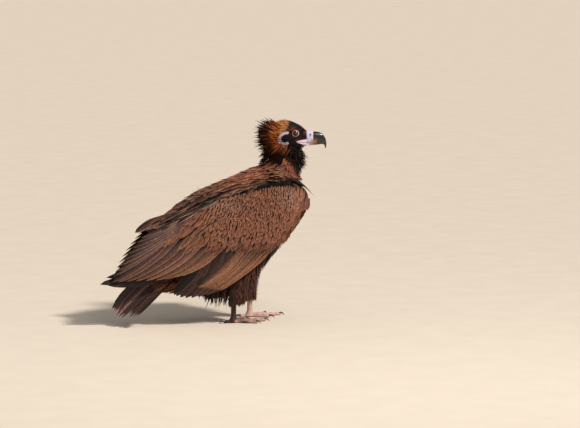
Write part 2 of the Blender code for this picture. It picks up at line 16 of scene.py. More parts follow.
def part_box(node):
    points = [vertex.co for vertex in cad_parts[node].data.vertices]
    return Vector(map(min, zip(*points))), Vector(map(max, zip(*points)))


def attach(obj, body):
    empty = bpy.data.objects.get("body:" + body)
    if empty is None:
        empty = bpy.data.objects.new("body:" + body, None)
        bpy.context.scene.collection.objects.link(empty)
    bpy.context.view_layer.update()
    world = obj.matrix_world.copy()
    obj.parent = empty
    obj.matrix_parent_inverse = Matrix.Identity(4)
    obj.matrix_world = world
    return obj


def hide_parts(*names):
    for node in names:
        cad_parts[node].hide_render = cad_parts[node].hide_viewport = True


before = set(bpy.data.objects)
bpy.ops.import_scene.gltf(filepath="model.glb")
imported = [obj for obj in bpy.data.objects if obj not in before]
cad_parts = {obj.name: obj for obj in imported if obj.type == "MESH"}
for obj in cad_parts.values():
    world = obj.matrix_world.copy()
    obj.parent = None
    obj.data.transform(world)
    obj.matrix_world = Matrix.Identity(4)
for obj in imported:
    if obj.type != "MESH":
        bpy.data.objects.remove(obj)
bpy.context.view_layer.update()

CM = 0.01
RIGHT, LEFT = -1, 1
WORD = {RIGHT: "right", LEFT: "left"}
BODY = "root"
PATCH = 0.003  # how wide each feather's patch is on the map that its colours are baked to
MAP_NAME = "OFBake"
TONE, VANE = "Tone", "Vane"  # the colours at the points, and the map of a feather's own width and length
WAVES, WAVE_SUM = 6, 2.6  # how many plane waves make up the noise, and what their sum is divided by

# The head has a frame of its own: its origin between the ears, +X along the bill.
HEAD_PLACE = np.array((12.5, -1.0, 62.0))
HEAD_TURN = math.radians(-20)
EYE = np.array((4.26, 2.3, 1.55))
EYE_RADIUS = 0.95
HEAD_AXES = np.array(
    (
        (math.cos(HEAD_TURN), math.sin(HEAD_TURN), 0.0),
        (-math.sin(HEAD_TURN), math.cos(HEAD_TURN), 0.0),
        (0.0, 0.0, 1.0),
    )
)


# ---------------------------------------------------------------- small helpers


def unit(vectors):
    return vectors / np.maximum(np.linalg.norm(vectors, axis=-1, keepdims=True), 1e-9)


def smooth(low, high, value):
    share = np.clip((value - low) / (high - low), 0.0, 1.0)
    return share * share * (3 - 2 * share)


def mix(first, second, share):
    share = np.asarray(share)[..., None]
    return first * (1 - share) + second * share


def linear(red, green, blue):
    """An sRGB colour of 0 to 255 as the shader's linear one."""
    value = np.array((red, green, blue)) / 255
    return np.where(value <= 0.04045, value / 12.92, ((value + 0.055) / 1.055) ** 2.4)


def wobble(places, size, seed):
    """Smooth noise of about -1 to 1 over space, with lumps of one size, from a few plane waves."""
    rng = np.random.default_rng(seed)
    total = np.zeros(len(places))
    for _ in range(WAVES):
        wave = rng.normal(size=3)
        wave *= 2 * math.pi / size / np.linalg.norm(wave) * rng.uniform(0.6, 1.5)
        total += np.sin(places @ wave + rng.uniform(0, 2 * math.pi))
    return total / WAVE_SUM


def to_head(places):
    return (places - HEAD_PLACE) @ HEAD_AXES.T


def from_head(places):
    return places @ HEAD_AXES + HEAD_PLACE


def box_middle(node):
    """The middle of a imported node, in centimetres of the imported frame."""
    low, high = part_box(node)
    return (np.array(low) + np.array(high)) / 2 / CM


def frame_shift():
    """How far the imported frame's origin is from the bird's own, from where the eyes are."""
    between = from_head(np.array((EYE[0], 0.0, EYE[2])))
    return (box_middle("eye_right") + box_middle("eye_left")) / 2 - between


SHIFT = frame_shift()


# ---------------------------------------------------------------- meshes


def added(name, data):
    """A new object of the scene that holds the data."""
    thing = bpy.data.objects.new(name, data)
    bpy.context.scene.collection.objects.link(thing)
    return thing


def mesh_object(name, points, faces, colours, maps=None, material=None):
    """An object from points in the bird's frame, with triangles, a colour at each point and UV maps."""
    faces = np.asarray(faces, np.int32)
    mesh = bpy.data.meshes.new(name)
    mesh.vertices.add(len(points))
    mesh.vertices.foreach_set("co", ((points + SHIFT) * CM).astype(np.float32).ravel())
    mesh.loops.add(faces.size)
    mesh.loops.foreach_set("vertex_index", faces.ravel())
    mesh.polygons.add(len(faces))
    mesh.polygons.foreach_set("loop_start", np.arange(0, faces.size, 3, dtype=np.int32))
    mesh.update(calc_edges=True)
    if colours.shape[1] == 3:
        colours = np.c_[colours, np.ones(len(colours))]
    layer = mesh.color_attributes.new(TONE, "FLOAT_COLOR", "POINT")
    layer.data.foreach_set("color", colours.astype(np.float32).ravel())
    for label, places in (maps or {}).items():
        layer = mesh.uv_layers.new(name=label)
        layer.data.foreach_set("uv", places[faces.ravel()].astype(np.float32).ravel())
    mesh.shade_smooth()
    mesh.materials.append(material)
    return added(name, mesh)


def arrays_of(mesh):
    """Points and triangles of a mesh, in its own units."""
    mesh.calc_loop_triangles()
    points = np.empty(len(mesh.vertices) * 3, np.float32)
    mesh.vertices.foreach_get("co", points)
    faces = np.empty(len(mesh.loop_triangles) * 3, np.int32)
    mesh.loop_triangles.foreach_get("vertices", faces)
    return points.reshape(-1, 3).astype(float), faces.reshape(-1, 3)


def joined(parts):
    """Several (points, faces) as one."""
    points, faces, start = [], [], 0
    for place, triangles in parts:
        points.append(place)
        faces.append(triangles + start)
        start += len(place)
    return np.concatenate(points), np.concatenate(faces)


def nodes_joined(names):
    """The CAD nodes as one set of points and triangles in the bird's frame."""
    parts = []
    for name in names:
        points, faces = arrays_of(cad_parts[name].data)
        parts.append((points / CM - SHIFT, faces))
    return joined(parts)


def helper_object(points, faces):
    """A bare object to run modifiers on."""
    mesh = bpy.data.meshes.new("work")
    mesh.from_pydata(points.tolist(), [], faces.tolist())
    return added("work", mesh)


def taken_from(thing, *others):
    """Points and triangles of a helper after its modifiers. It and the other helpers are then removed."""
    graph = bpy.context.evaluated_depsgraph_get()
    result = bpy.data.meshes.new_from_object(thing.evaluated_get(graph))
    found = arrays_of(result)
    for mesh in (result, thing.data, *(other.data for other in others)):
        bpy.data.meshes.remove(mesh)
    return found


def remeshed(points, faces, voxel, rounds):
    """A closed surface made again with even triangles, and smoothed."""
    thing = helper_object(points, faces)
    remesh = thing.modifiers.new("remesh", "REMESH")
    remesh.mode, remesh.voxel_size = "VOXEL", voxel
    soften = thing.modifiers.new("smooth", "SMOOTH")
    soften.iterations, soften.factor = rounds, 0.5
    return taken_from(thing)


def united(parts):
    """Closed shells joined into one by Booleans."""
    first, *others = [helper_object(points, outward(points, faces)) for points, faces in parts]
    for other in others:
        modifier = first.modifiers.new("join", "BOOLEAN")
        modifier.operation, modifier.solver, modifier.object = "UNION", "MANIFOLD", other
    return taken_from(first, *others)


def tree_of(points, faces):
    return BVHTree.FromPolygons(points.tolist(), faces.tolist(), all_triangles=True)


def face_crosses(points, faces):
    """Each triangle's normal, twice as long as its area."""
    corners = points[faces]
    return np.cross(corners[:, 1] - corners[:, 0], corners[:, 2] - corners[:, 0])


def point_normals(points, faces):
    flat = face_crosses(points, faces)
    total = np.zeros_like(points)
    for k in range(3):
        for axis in range(3):
            total[:, axis] += np.bincount(faces[:, k], flat[:, axis], len(points))
    return unit(total)


def outward(points, faces):
    """The triangles turned so that a closed mesh's volume is positive."""
    corners = points[faces]
    volume = (corners[:, 0] * np.cross(corners[:, 1], corners[:, 2])).sum()
    return faces if volume > 0 else faces[:, ::-1]


def closed_up(points, faces, reach):
    """A surface whose creases narrower than about twice the reach are filled."""
    points, faces = remeshed(points + point_normals(points, faces) * reach, faces, 0.6, 3)
    return remeshed(points - point_normals(points, faces) * reach, faces, 0.5, 8)


def round_turns(count):
    """Angles in even steps all the way round."""
    return [2 * math.pi * k / count for k in range(count)]


def band_faces(rows, ring):
    """Triangles between rows rings of points."""
    faces = []
    for r in range(rows - 1):
        for k in range(ring):
            a, b = r * ring + k, r * ring + (k + 1) % ring
            faces += [(a, b, b + ring), (a, b + ring, a + ring)]
    return faces


def ring_faces(rows, ring):
    """Triangles of a closed tube of rows rings, with both ends filled."""
    faces = band_faces(rows, ring)
    last = (rows - 1) * ring
    for k in range(1, ring - 1):
        faces += [(0, k + 1, k), (last, last + k, last + k + 1)]
    return np.array(faces, np.int32)


def smooth_through(points, share):
    """A place on a Catmull-Rom curve through rows of numbers, at a share of the way."""
    points = np.asarray(points, float)
    where = share * (len(points) - 1)
    k = int(min(where, len(points) - 2))
    t = where - k
    a, b, c, d = points[max(k - 1, 0)], points[k], points[k + 1], points[min(k + 2, len(points) - 1)]
    return 0.5 * (2 * b + (c - a) * t + (2 * a - 5 * b + 4 * c - d) * t * t + (3 * b - 3 * c + d - a) * t**3)


def tube(rings):
    """Points and triangles of a closed tube through rings of equal size."""
    rings = np.array(rings)
    points = rings.reshape(-1, 3)
    return points, outward(points, ring_faces(rings.shape[0], rings.shape[1]))


def finish_piece(thing, slot, *replaced):
    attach(thing, BODY)
    if replaced:
        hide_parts(*replaced)


# ---------------------------------------------------------------- surfaces and lines


class Surface:
    """A closed surface that feathers grow on."""

    def __init__(self, points, faces):
        self.points, self.faces = points, faces
        self.normals = point_normals(points, faces)
        self.tree = tree_of(points, faces)

    def nearest(self, places):
        """The closest points on the surface and the smooth normals there."""
        hits = [self.tree.find_nearest(place) for place in places.tolist()]
        spots = np.array([hit[0] for hit in hits])
        corners = self.faces[[hit[2] for hit in hits]]
        away = np.linalg.norm(self.points[corners] - spots[:, None], axis=2)
        weight = 1 / (away + 0.02)
        normals = (self.normals[corners] * weight[..., None]).sum(axis=1)
        return spots, unit(normals)

    def scattered(self, count, rng):
        """Points spread evenly by area, with normals."""
        area = np.linalg.norm(face_crosses(self.points, self.faces), axis=1)
        index = rng.choice(len(area), count, p=area / area.sum())
        first, second = rng.random((2, count))
        root = np.sqrt(first)
        weights = np.stack((1 - root, root * (1 - second), root * second), axis=1)[..., None]
        corners = self.faces[index]
        places = (self.points[corners] * weights).sum(axis=1)
        return places, unit((self.normals[corners] * weights).sum(axis=1))


def thinned(places, spacing):
    """Indices of points that keep their own distance from each other, in a fixed order."""
    tree = KDTree(len(places))
    for index, place in enumerate(places.tolist()):
        tree.insert(place, index)
    tree.balance()
    free = np.ones(len(places), bool)
    kept = []
    for index, place in enumerate(places.tolist()):
        if not free[index]:
            continue
        kept.append(index)
        for _, other, _ in tree.find_range(place, spacing[index]):
            free[other] = False
    return np.array(kept, int)


def along_surface(way, normals):
    """The part of each direction that lies along the surface, as a unit vector."""
    return unit(way - (way * normals).sum(axis=1, keepdims=True) * normals)


def follow(surface, roots, heading, lengths, steps, hug=1.0):
    """Lines that start at the roots and run along the surface, and the normals on them.

    heading gives the way at each place. Past the share hug of its length a line runs straight on, and so
    does one that comes to a sharp rim, as a stiff feather does.
    """
    spots, normals = surface.nearest(roots)
    lines, ups = [spots], [normals]
    way = along_surface(heading(spots), normals)
    step = (lengths / steps)[:, None]
    for k in range(steps):
        wanted = along_surface(heading(spots), normals)
        if (k + 1) / steps > hug:
            spots = spots + way * step
        else:
            way = unit(way * 0.4 + wanted * 0.6)
            ahead = spots + way * step
            found, turned = surface.nearest(ahead)
            jump = np.linalg.norm(found - ahead, axis=1) > 0.6 * step[:, 0]
            sharp = (((turned * normals).sum(axis=1) < 0.8) | jump)[:, None]
            spots = np.where(sharp, ahead, found)
            normals = np.where(sharp, normals, turned)
            way = unit(spots - lines[-1])
        lines.append(spots)
        ups.append(normals)
    return np.stack(lines, axis=1), np.stack(ups, axis=1)


def settled(surface, lines, limit):
    """True for lines whose tips stay within the limit of the surface."""
    spots, _ = surface.nearest(lines[:, -1])
    return np.linalg.norm(spots - lines[:, -1], axis=1) < limit


def raised(lines, ups, depth, lift, power=1.6):
    """Lines with their roots set into the plumage and their tips lifted off it."""
    shares = np.linspace(0, 1, lines.shape[1])[None, :, None]
    depth = np.broadcast_to(depth, len(lines))[:, None, None]
    lift = np.broadcast_to(lift, len(lines))[:, None, None]
    return lines + ups * (lift * shares**2 - depth * (1 - shares) ** power)


# ---------------------------------------------------------------- feathers


def vane_outline(shares, widest, blunt, quill):
    """How wide a feather is along its length, as a share of its greatest width."""
    rise = quill + (1 - quill) * smooth(0, widest, shares)
    fall = np.clip((shares - widest) / (1 - widest), 0, 1)
    return rise * np.clip(1 - fall**blunt, 0.0016, 1) ** (1 / blunt if blunt > 1.6 else 0.9)


class Coat:
    """Feathers gathered into one mesh. Each is a thin closed blade: a cambered face over a flat back."""

    def __init__(self, skin):
        self.skin = skin
        self.points, self.faces, self.tones, self.vanes, self.patches = [], [], [], [], []
        self.count = 0

    def add(self, lines, ups, half, tones, edges, columns=5, camber=0.3, thickness=0.05,
            widest=0.5, blunt=2.0, quill=0.3, fray=0.0, roll=None, mirrored=None, seed=0):
        """half is each feather's greatest half width, tones its colour at each row, edges its rim's paleness.

        The vane's map starts at the edge that stands clear of the next feather, or at the other if mirrored.
        Painted shade in the materials darkens each vane towards the map's far edge.
        """
        rng = np.random.default_rng(seed)
        number, rows = lines.shape[:2]
        along = unit(np.gradient(lines, axis=1))
        side = unit(np.cross(along, ups))
        up = unit(np.cross(side, along))
        if roll is not None:
            turn = roll[:, None, None]
            side, up = side * np.cos(turn) + up * np.sin(turn), up * np.cos(turn) - side * np.sin(turn)
        shares = np.linspace(0, 1, rows)
        width = half[:, None] * vane_outline(shares, widest, blunt, quill)[None]
        across = np.linspace(-1, 1, columns)
        wide = width[..., None] * across * np.ones((number, rows, 1))
        if fray:
            loss = fray * rng.random((number, rows, columns)) ** 2
            wide = wide * (1 - loss * smooth(0.25, 0.9, shares)[None, :, None])
        low = -camber * width[..., None] * across**2
        top = lines[:, :, None] + side[:, :, None] * wide[..., None] + up[:, :, None] * low[..., None]
        deep = np.minimum(thickness, width * 0.7) + camber * width * 0.25
        under = (lines - up * deep[..., None])[:, :, None]
        size = columns + 1
        self.points.append(np.concatenate((top, under), axis=2).reshape(-1, 3))
        offsets = (self.count + np.arange(number) * rows * size)[:, None, None]
        self.faces.append((ring_faces(rows, size)[None] + offsets).reshape(-1, 3))
        self.count += number * rows * size
        colour = np.empty((number, rows, size, 4))
        colour[..., :3] = tones[:, :, None]
        colour[..., 3] = edges[:, None, None]
        self.tones.append(colour.reshape(-1, 4))
        vane = np.empty((number, rows, size, 2))
        vane[..., 0] = np.concatenate(((across + 1) / 2, (0.5,)))
        vane[..., 1] = shares[None, :, None]
        if mirrored is not None:
            vane[mirrored, ..., 0] = 1 - vane[mirrored, ..., 0]
        self.vanes.append(vane.reshape(-1, 2))
        patch = self.skin.places(lines[:, 0])[:, None, None] + (vane - 0.5) * PATCH
        self.patches.append(patch.reshape(-1, 2))

    def build(self, name, slot, look):
        """The finished piece, on the bird's body."""
        maps = {VANE: np.concatenate(self.vanes), MAP_NAME: np.concatenate(self.patches)}
        points, faces, tones = [np.concatenate(rows) for rows in (self.points, self.faces, self.tones)]
        thing = mesh_object(name, points, faces, tones, maps, LOOKS[look])
        print("coat", name, len(faces), "triangles")
        thing.data.set_sharp_from_angle(angle=math.radians(70))
        finish_piece(thing, slot)
        return thing


def grown(name, slot, look, skin, *feathers, **shape):
    """One piece of coat from one set of feathers, given as Coat.add takes them."""
    coat = Coat(skin)
    coat.add(*feathers, **shape)
    return coat.build(name, slot, look)


def rows_of_tone(tone, rows, rng, base=0.75, tip=1.0, vary=0.12):
    """One colour for each feather, a little different from its neighbours', darker at its base: partly its
    grey down, partly painted shade under the feathers that overlap it.
    """
    shade = 1 + rng.normal(0, vary, (len(tone), 1, 1))
    along = np.linspace(base, tip, rows)[None, :, None]
    return np.clip(tone[:, None] * np.clip(shade, 0.6, 1.5) * along, 0, 1)


# ---------------------------------------------------------------- colours of the bird

PALE_RIM = linear(206, 154, 114)
SHAFT = linear(34, 20, 16)
# pale horn: real wear in the horn material, a painted highlight along the upper bill's top
HORN_PALE = linear(122, 112, 104)
MANTLE = linear(138, 84, 60)
MANTLE_REAR = linear(106, 72, 60)
NECK_BASE = linear(126, 72, 50)
BREAST = linear(68, 38, 28)
BELLY = linear(44, 25, 19)
TROUSER = linear(76, 42, 32)
VENT = linear(104, 54, 30)
RUFOUS = linear(168, 84, 36)
COVERT_TOP = linear(134, 86, 63)
COVERT_MID = linear(134, 84, 62)
# pale grey, painted sheen on the coverts
COVERT_SHEEN = linear(158, 122, 104)
BAND = linear(98, 54, 38)
DARK_VANE = linear(82, 54, 50)
STRIPE_VANE = linear(120, 80, 60)
TERTIAL = linear(82, 56, 53)
PRIMARY = linear(32, 20, 19)
TAIL_VANE = linear(150, 112, 102)
CROWN = linear(196, 134, 80)
NAPE = linear(160, 84, 38)
RUFF_TIP = linear(24, 10, 7)
MASK = linear(17, 9, 8)
FOREHEAD = linear(34, 18, 14)
THROAT = linear(18, 8, 6)
CERE_SKIN = linear(212, 200, 222)
GAPE_SKIN = linear(228, 186, 214)
LID_SKIN = linear(226, 158, 150)
EAR_SKIN = linear(200, 186, 200)
CHIN_SKIN = linear(176, 122, 96)
DARK_SKIN = linear(20, 12, 11)
DOWN_SKIN = linear(60, 40, 32)
HORN_DARK = linear(26, 25, 28)
HORN_TAN = linear(168, 112, 72)
CLAW_DARK = linear(26, 23, 24)
LEG_PINK = linear(206, 170, 160)
LEG_TAN = linear(176, 132, 108)
LEG_DARK = linear(62, 46, 42)
IRIS = linear(40, 22, 16)
# the black of the pupil, also used for painted shade in the wing gap and in the nostril
PUPIL_AND_SHADE = linear(4, 4, 5)
# near black: painted shade, for the feathers in the gap over the folded wing
GAP_SHADE = linear(18, 10, 9)
RUFF_BROWN = linear(104, 50, 26)
MASK_TIP = linear(70, 38, 26)
THROAT_TIP = linear(78, 42, 24)
TAIL_COVERT = linear(142, 88, 70)
SAND = linear(236, 222, 204)


# ---------------------------------------------------------------- materials


def colour4(colour):
    return (*colour, 1.0)


class Look:
    """A material in the making, with short ways to add its nodes."""

    def __init__(self, name):
        self.made = bpy.data.materials.new(name)
        self.made.use_nodes = True
        self.tree = self.made.node_tree
        self.shader = self.tree.nodes["Principled BSDF"]

    def add(self, kind, settings=None, **inputs):
        """A node. An input is named by its label, or by i and its number."""
        node = self.tree.nodes.new("ShaderNode" + kind)
        for key, value in (settings or {}).items():
            setattr(node, key, value)
        for key, value in inputs.items():
            socket = node.inputs[int(key[1:]) if key[1:].isdigit() else key.replace("_", " ")]
            if isinstance(value, bpy.types.NodeSocket):
                self.tree.links.new(value, socket)
            else:
                socket.default_value = value
        return node

    def tone(self):
        """The colours painted at the mesh's points, with how pale the rim is as alpha."""
        return self.add("Attribute", {"attribute_name": TONE}).outputs

    def maths(self, operation, first, second=0.0, third=0.0):
        return self.add("Math", {"operation": operation}, i0=first, i1=second, i2=third).outputs[0]

    def place(self):
        return self.add("TexCoord").outputs["Object"]

    def grain(self, scale, detail=3.0):
        """Noise fixed to the bird, with its scale in lumps per metre."""
        return self.add("TexNoise", i0=self.place(), i2=scale, i3=detail).outputs[0]

    def ramp(self, value, low, high, start=0.0, end=1.0):
        """A smooth step from start to end as value goes from low to high."""
        settings = {"interpolation_type": "SMOOTHSTEP"}
        return self.add("MapRange", settings, i0=value, i1=low, i2=high, i3=start, i4=end).outputs[0]

    def blended(self, share, first, second, how="MIX"):
        settings = {"data_type": "RGBA", "blend_type": how}
        return self.add("Mix", settings, i0=share, i6=first, i7=second).outputs[2]

    def shaded(self, colour, shade):
        """The colour made darker or lighter by a number."""
        grey = self.add("CombineColor", i0=shade, i1=shade, i2=shade).outputs[0]
        return self.blended(1.0, colour, grey, "MULTIPLY")

    def finished(self, colour, bump=None, **constants):
        """The material, with its colour, its bump (strength, distance, height) and the shader's constants."""
        self.tree.links.new(colour, self.shader.inputs["Base Color"])
        if bump is not None:
            strength, distance, height = bump
            node = self.add("Bump", Strength=strength, Distance=distance, Height=height)
            self.tree.links.new(node.outputs[0], self.shader.inputs["Normal"])
        for key, value in constants.items():
            self.shader.inputs[key.replace("_", " ")].default_value = value
        return self.made


def feather_material(name, barbs, shaft, roughness, hidden, tip_rim):
    """Vanes with a paler rim, a shaft, fine barbs that slant off it, and a little mottling.

    hidden is how much painted shade darkens a vane towards the side that lies under the next feather.
    """
    look = Look(name)
    tone = look.tone()
    vane = look.add("SeparateXYZ", i0=look.add("UVMap", {"uv_map": VANE}).outputs[0]).outputs
    across = look.maths("ABSOLUTE", look.maths("MULTIPLY_ADD", vane[0], 2.0, -1.0))
    along = vane[1]
    side_rim = look.maths("MULTIPLY", look.ramp(across, 0.74, 0.97), look.ramp(along, 0.12, 0.5))
    rim = look.maths("MAXIMUM", side_rim, look.ramp(along, 0.90, 1.0, 0.0, tip_rim))
    rim = look.maths("MULTIPLY", rim, tone["Alpha"])
    colour = look.blended(rim, tone["Color"], colour4(PALE_RIM))
    slant = look.maths("MULTIPLY_ADD", across, -0.22, along)
    barb = look.maths("SINE", look.maths("MULTIPLY", slant, barbs * 2 * math.pi))
    shade = look.maths("MULTIPLY_ADD", barb, 0.08, look.ramp(look.grain(140.0), 0.3, 0.7, 0.74, 1.2))
    # painted shade: the vane grows darker towards its edge that lies under the next feather
    shade = look.maths("MULTIPLY", shade, look.ramp(vane[0], 0.2, 0.9, 1.08, 1.08 - hidden))
    quill = look.ramp(across, shaft, shaft * 2.2, 0.75, 0.0)
    colour = look.blended(quill, look.shaded(colour, shade), colour4(SHAFT))
    height = look.maths("MULTIPLY_ADD", barb, 0.5, look.maths("MULTIPLY", quill, 1.2))
    return look.finished(colour, (0.35, 0.0006, height), Roughness=roughness, Specular_IOR_Level=0.22)


def down_material():
    """Hair-like down: no shaft, and a soft unevenness from tuft to tuft."""
    look = Look("down")
    colour = look.shaded(look.tone()["Color"], look.ramp(look.grain(220.0), 0.3, 0.7, 0.70, 1.2))
    return look.finished(colour, Roughness=0.6, Specular_IOR_Level=0.05)


def skin_material():
    """Bare skin in the colour of its markings, with fine wrinkles and pores."""
    look = Look("bare_skin")
    colour = look.shaded(look.tone()["Color"], look.ramp(look.grain(160.0, 4.0), 0.3, 0.75, 0.84, 1.1))
    wrinkle = look.add("TexVoronoi", {"feature": "DISTANCE_TO_EDGE"}, i0=look.place(), i2=620.0)
    height = look.maths("MULTIPLY_ADD", wrinkle.outputs["Distance"], 0.8, look.grain(340.0, 4.0))
    return look.finished(colour, (0.5, 0.0005, height), Roughness=0.55, Specular_IOR_Level=0.15,
                         Subsurface_Weight=0.03, Subsurface_Scale=0.003)


def horn_material():
    """Bill and claws: dark, worn and glossy, with growth lines and a few pale scratches."""
    look = Look("horn")
    # here only wear: pale patches where the noise is high
    wear_and_highlight = look.ramp(look.grain(320.0), 0.56, 0.74, 0.0, 0.30)
    colour = look.blended(wear_and_highlight, look.tone()["Color"], colour4(HORN_PALE))
    colour = look.shaded(colour, look.ramp(look.grain(130.0), 0.3, 0.7, 0.7, 1.15))
    return look.finished(colour, (0.25, 0.0005, look.grain(420.0)), Roughness=0.22, Specular_IOR_Level=0.6)


def eye_material():
    """A wet dark eye: the colours of iris and pupil under a clear coat."""
    look = Look("eye")
    colour = look.shaded(look.tone()["Color"], look.ramp(look.grain(1500.0), 0.3, 0.7, 0.8, 1.15))
    return look.finished(colour, Roughness=0.12, Coat_Weight=1.0, Coat_Roughness=0.03)


def floor_material():
    look = Look("floor")
    colour = look.shaded(colour4(SAND), look.ramp(look.grain(9.0, 5.0), 0.2, 0.8, 0.97, 1.02))
    return look.finished(colour, Roughness=0.9)


# The fifth number is how much painted shade falls on each vane's hidden side: a little on small feathers,
# much on flight feathers.
LOOKS = {
    "plumage": feather_material("plumage", 26, 0.035, 0.62, 0.12, 0.8),
    "flight": feather_material("flight_feather", 90, 0.026, 0.46, 0.88, 0.35),
    "down": down_material(),
    "skin": skin_material(),
    "horn": horn_material(),
    "eye": eye_material(),
}


# ---------------------------------------------------------------- markings of the head


def near_segment(places, start, end):
    """Distance of points, in the head's side view, from a line between two places (x, z)."""
    start, end = np.array(start), np.array(end)
    flat = places[:, (0, 2)]
    share = np.clip((flat - start) @ (end - start) / ((end - start) @ (end - start)), 0, 1)
    return np.linalg.norm(flat - start - share[:, None] * (end - start), axis=1)


def near(places, start, end, inner, outer, strength=1.0):
    """A mark round a line of the head's side view: its strength out to inner, fading to 0 at outer."""
    return (1 - smooth(inner, outer, near_segment(places, start, end))) * strength


def near_path(places, path):
    """Distance of points, in the head's side view, from a path of places (x, z)."""
    return np.min([near_segment(places, a, b) for a, b in zip(path, path[1:])], axis=0)


STRIPE = (  # the line that the ruff grows from, in the head's side view (x, z)
    (-2.3, 4.9), (-3.3, 3.2), (-3.3, 1.5), (-2.7, -0.5), (-1.9, -2.65), (-0.2, -4.8), (2.2, -6.7),
    (4.1, -8.6), (5.0, -10.5),
)


def ahead_of_stripe(places):
    """How far points of the head's frame are in front of the line that the ruff grows from."""
    line = np.array(STRIPE)[::-1]
    return places[:, 0] - np.interp(places[:, 2], line[:, 1], line[:, 0])


def eye_distance(places):
    return np.hypot(places[:, 0] - EYE[0], places[:, 2] - EYE[2])


NOSTRIL = (9.2, 0.93)  # its place in the head's side view


def nostril_distance(places, height):
    """Distance from the nostril, as a share of its size."""
    return np.hypot((places[:, 0] - NOSTRIL[0]) / 0.24, (places[:, 2] - NOSTRIL[1]) / height)


HEAD_SIDE = 1.2  # how far from the head's middle its sides begin


def cere_share(places):
    """1 on the cere and the pale wedge that runs back from the gape."""
    front = smooth(7.85, 8.25, places[:, 0] + 0.06 * (places[:, 2] - 0.2))
    wedge_width = 0.22 + 0.30 * np.clip(places[:, 0] - 4.7, 0, 4)
    wedge = 1 - smooth(0.85, 1.15, near_segment(places, (4.8, -1.35), (8.6, -1.95)) / wedge_width)
    return np.maximum(front, wedge * (np.abs(places[:, 1]) > 0.5))


CRESCENT = (  # the bare skin behind the ear, in the head's side view
    (1.5, 1.75), (0.3, 1.55), (-0.9, 0.7), (-1.25, -0.4), (-0.8, -1.6), (0.2, -2.2), (1.5, -1.85),
)
CRESCENT_TAIL = ((0.0, -2.2), (0.9, -3.5))


def ear_share(places):
    """1 on the bare crescent behind and below the dark ear."""
    away = np.minimum(near_path(places, CRESCENT), near_segment(places, *CRESCENT_TAIL) + 0.08)
    return (1 - smooth(0.34, 0.56, away)) * (np.abs(places[:, 1]) > HEAD_SIDE)


def lid_share(places):
    """1 on the pale pink rim of the lids."""
    away = eye_distance(places)
    return (1 - smooth(1.10, 1.20, away)) * smooth(0.86, 0.93, away)


def crown_share(places):
    """1 on the tawny crown behind the dark forehead, with a ragged edge."""
    edge = np.clip(0.3 + 0.5 * (places[:, 2] - 1.5), -1.5, 2.0) + 0.35 * wobble(places, 0.9, 81)
    return (1 - smooth(edge - 0.35, edge + 0.45, places[:, 0])) * smooth(0.9, 1.7, places[:, 2])


def nape_share(places):
    """1 on the orange-brown stripe that the ruff grows from."""
    return 1 - smooth(0.7, 1.3, near_path(places, STRIPE) + 0.6 * (ahead_of_stripe(places) > 0))


def head_coat(places):
    """Colour of the down on the head at places in its own frame."""
    tone = np.broadcast_to(MASK, places.shape).copy()
    tone = mix(tone, FOREHEAD, smooth(2.2, 3.4, places[:, 2]) * 0.6)
    tone = mix(tone, THROAT, smooth(-1.6, -3.2, places[:, 2]))
    warm = near(places, (2.2, 2.75), (3.6, 3.15), 0.25, 0.7, 0.45)
    warm = np.maximum(warm, near(places, (7.3, 2.0), (7.4, 1.0), 0.2, 0.6, 0.35))
    warm = np.maximum(warm, near(places, (4.6, -0.9), (6.9, -1.0), 0.2, 0.8, 0.22))
    tone = mix(tone, NAPE, warm)
    tone = mix(tone, CROWN, crown_share(places))
    behind = smooth(0.2, -0.6, ahead_of_stripe(places))
    return mix(tone, NAPE, np.maximum(behind * (1 - crown_share(places)), nape_share(places)))


def head_bare(places):
    """1 where the head has no down."""
    bare = np.maximum(cere_share(places), ear_share(places))
    return np.maximum(bare, lid_share(places))


def head_skin_tone(places):
    """Colour of the head's skin, the same markings as its down, with painted shade in the nostril."""
    tone = mix(np.broadcast_to(DARK_SKIN, places.shape), head_coat(places), 0.5)
    tone = mix(tone, EAR_SKIN, ear_share(places))
    tone = mix(tone, CHIN_SKIN, near(places, (6.6, -3.5), (7.8, -2.9), 0.3, 0.8, 0.8))
    pale = mix(np.broadcast_to(CERE_SKIN, places.shape), GAPE_SKIN, smooth(8.4, 6.0, places[:, 0]) * 0.8)
    tone = mix(tone, pale, cere_share(places))
    tone = mix(tone, HORN_TAN, near(places, (9.8, -1.2), (10.4, -1.3), 0.3, 0.8, 0.6))
    side = np.abs(places[:, 1]) > HEAD_SIDE
    tone = mix(tone, PUPIL_AND_SHADE, (1 - smooth(1.25, 1.6, eye_distance(places))) * side * 0.7)
    tone = mix(tone, LID_SKIN, lid_share(places) * side)
    inner = nostril_distance(places, 0.34)
    tone = mix(tone, HORN_TAN, (1 - smooth(1.3, 2.0, inner)) * 0.35 * (places[:, 2] < NOSTRIL[1]))
    # painted shade: the nostril's hole painted black
    return mix(tone, PUPIL_AND_SHADE, 1 - smooth(0.75, 1.1, inner))


# ---------------------------------------------------------------- head


def mouth_and_ear_folds(here, flank):
    """How far the gape, the nostril and the cheek push the head's skin out or draw it in."""
    push = 0.18 * (1 - smooth(0.6, 2.2, np.hypot(here[:, 0] - 3.4, here[:, 2] + 1.5))) * flank
    gape = near_segment(here, (4.9, -1.55), (10.2, -2.15))
    push -= 0.16 * (1 - smooth(0.05, 0.22, gape)) * flank
    push += 0.10 * (1 - smooth(0.18, 0.40, np.abs(gape - 0.42))) * flank * cere_share(here)
    inner = nostril_distance(here, 0.36)
    push -= 0.34 * (1 - smooth(0.6, 1.1, inner)) * smooth(0.6, 0.9, np.abs(here[:, 1]))
    return push + 0.05 * (1 - smooth(0.2, 0.5, np.abs(inner - 1.45))) * flank


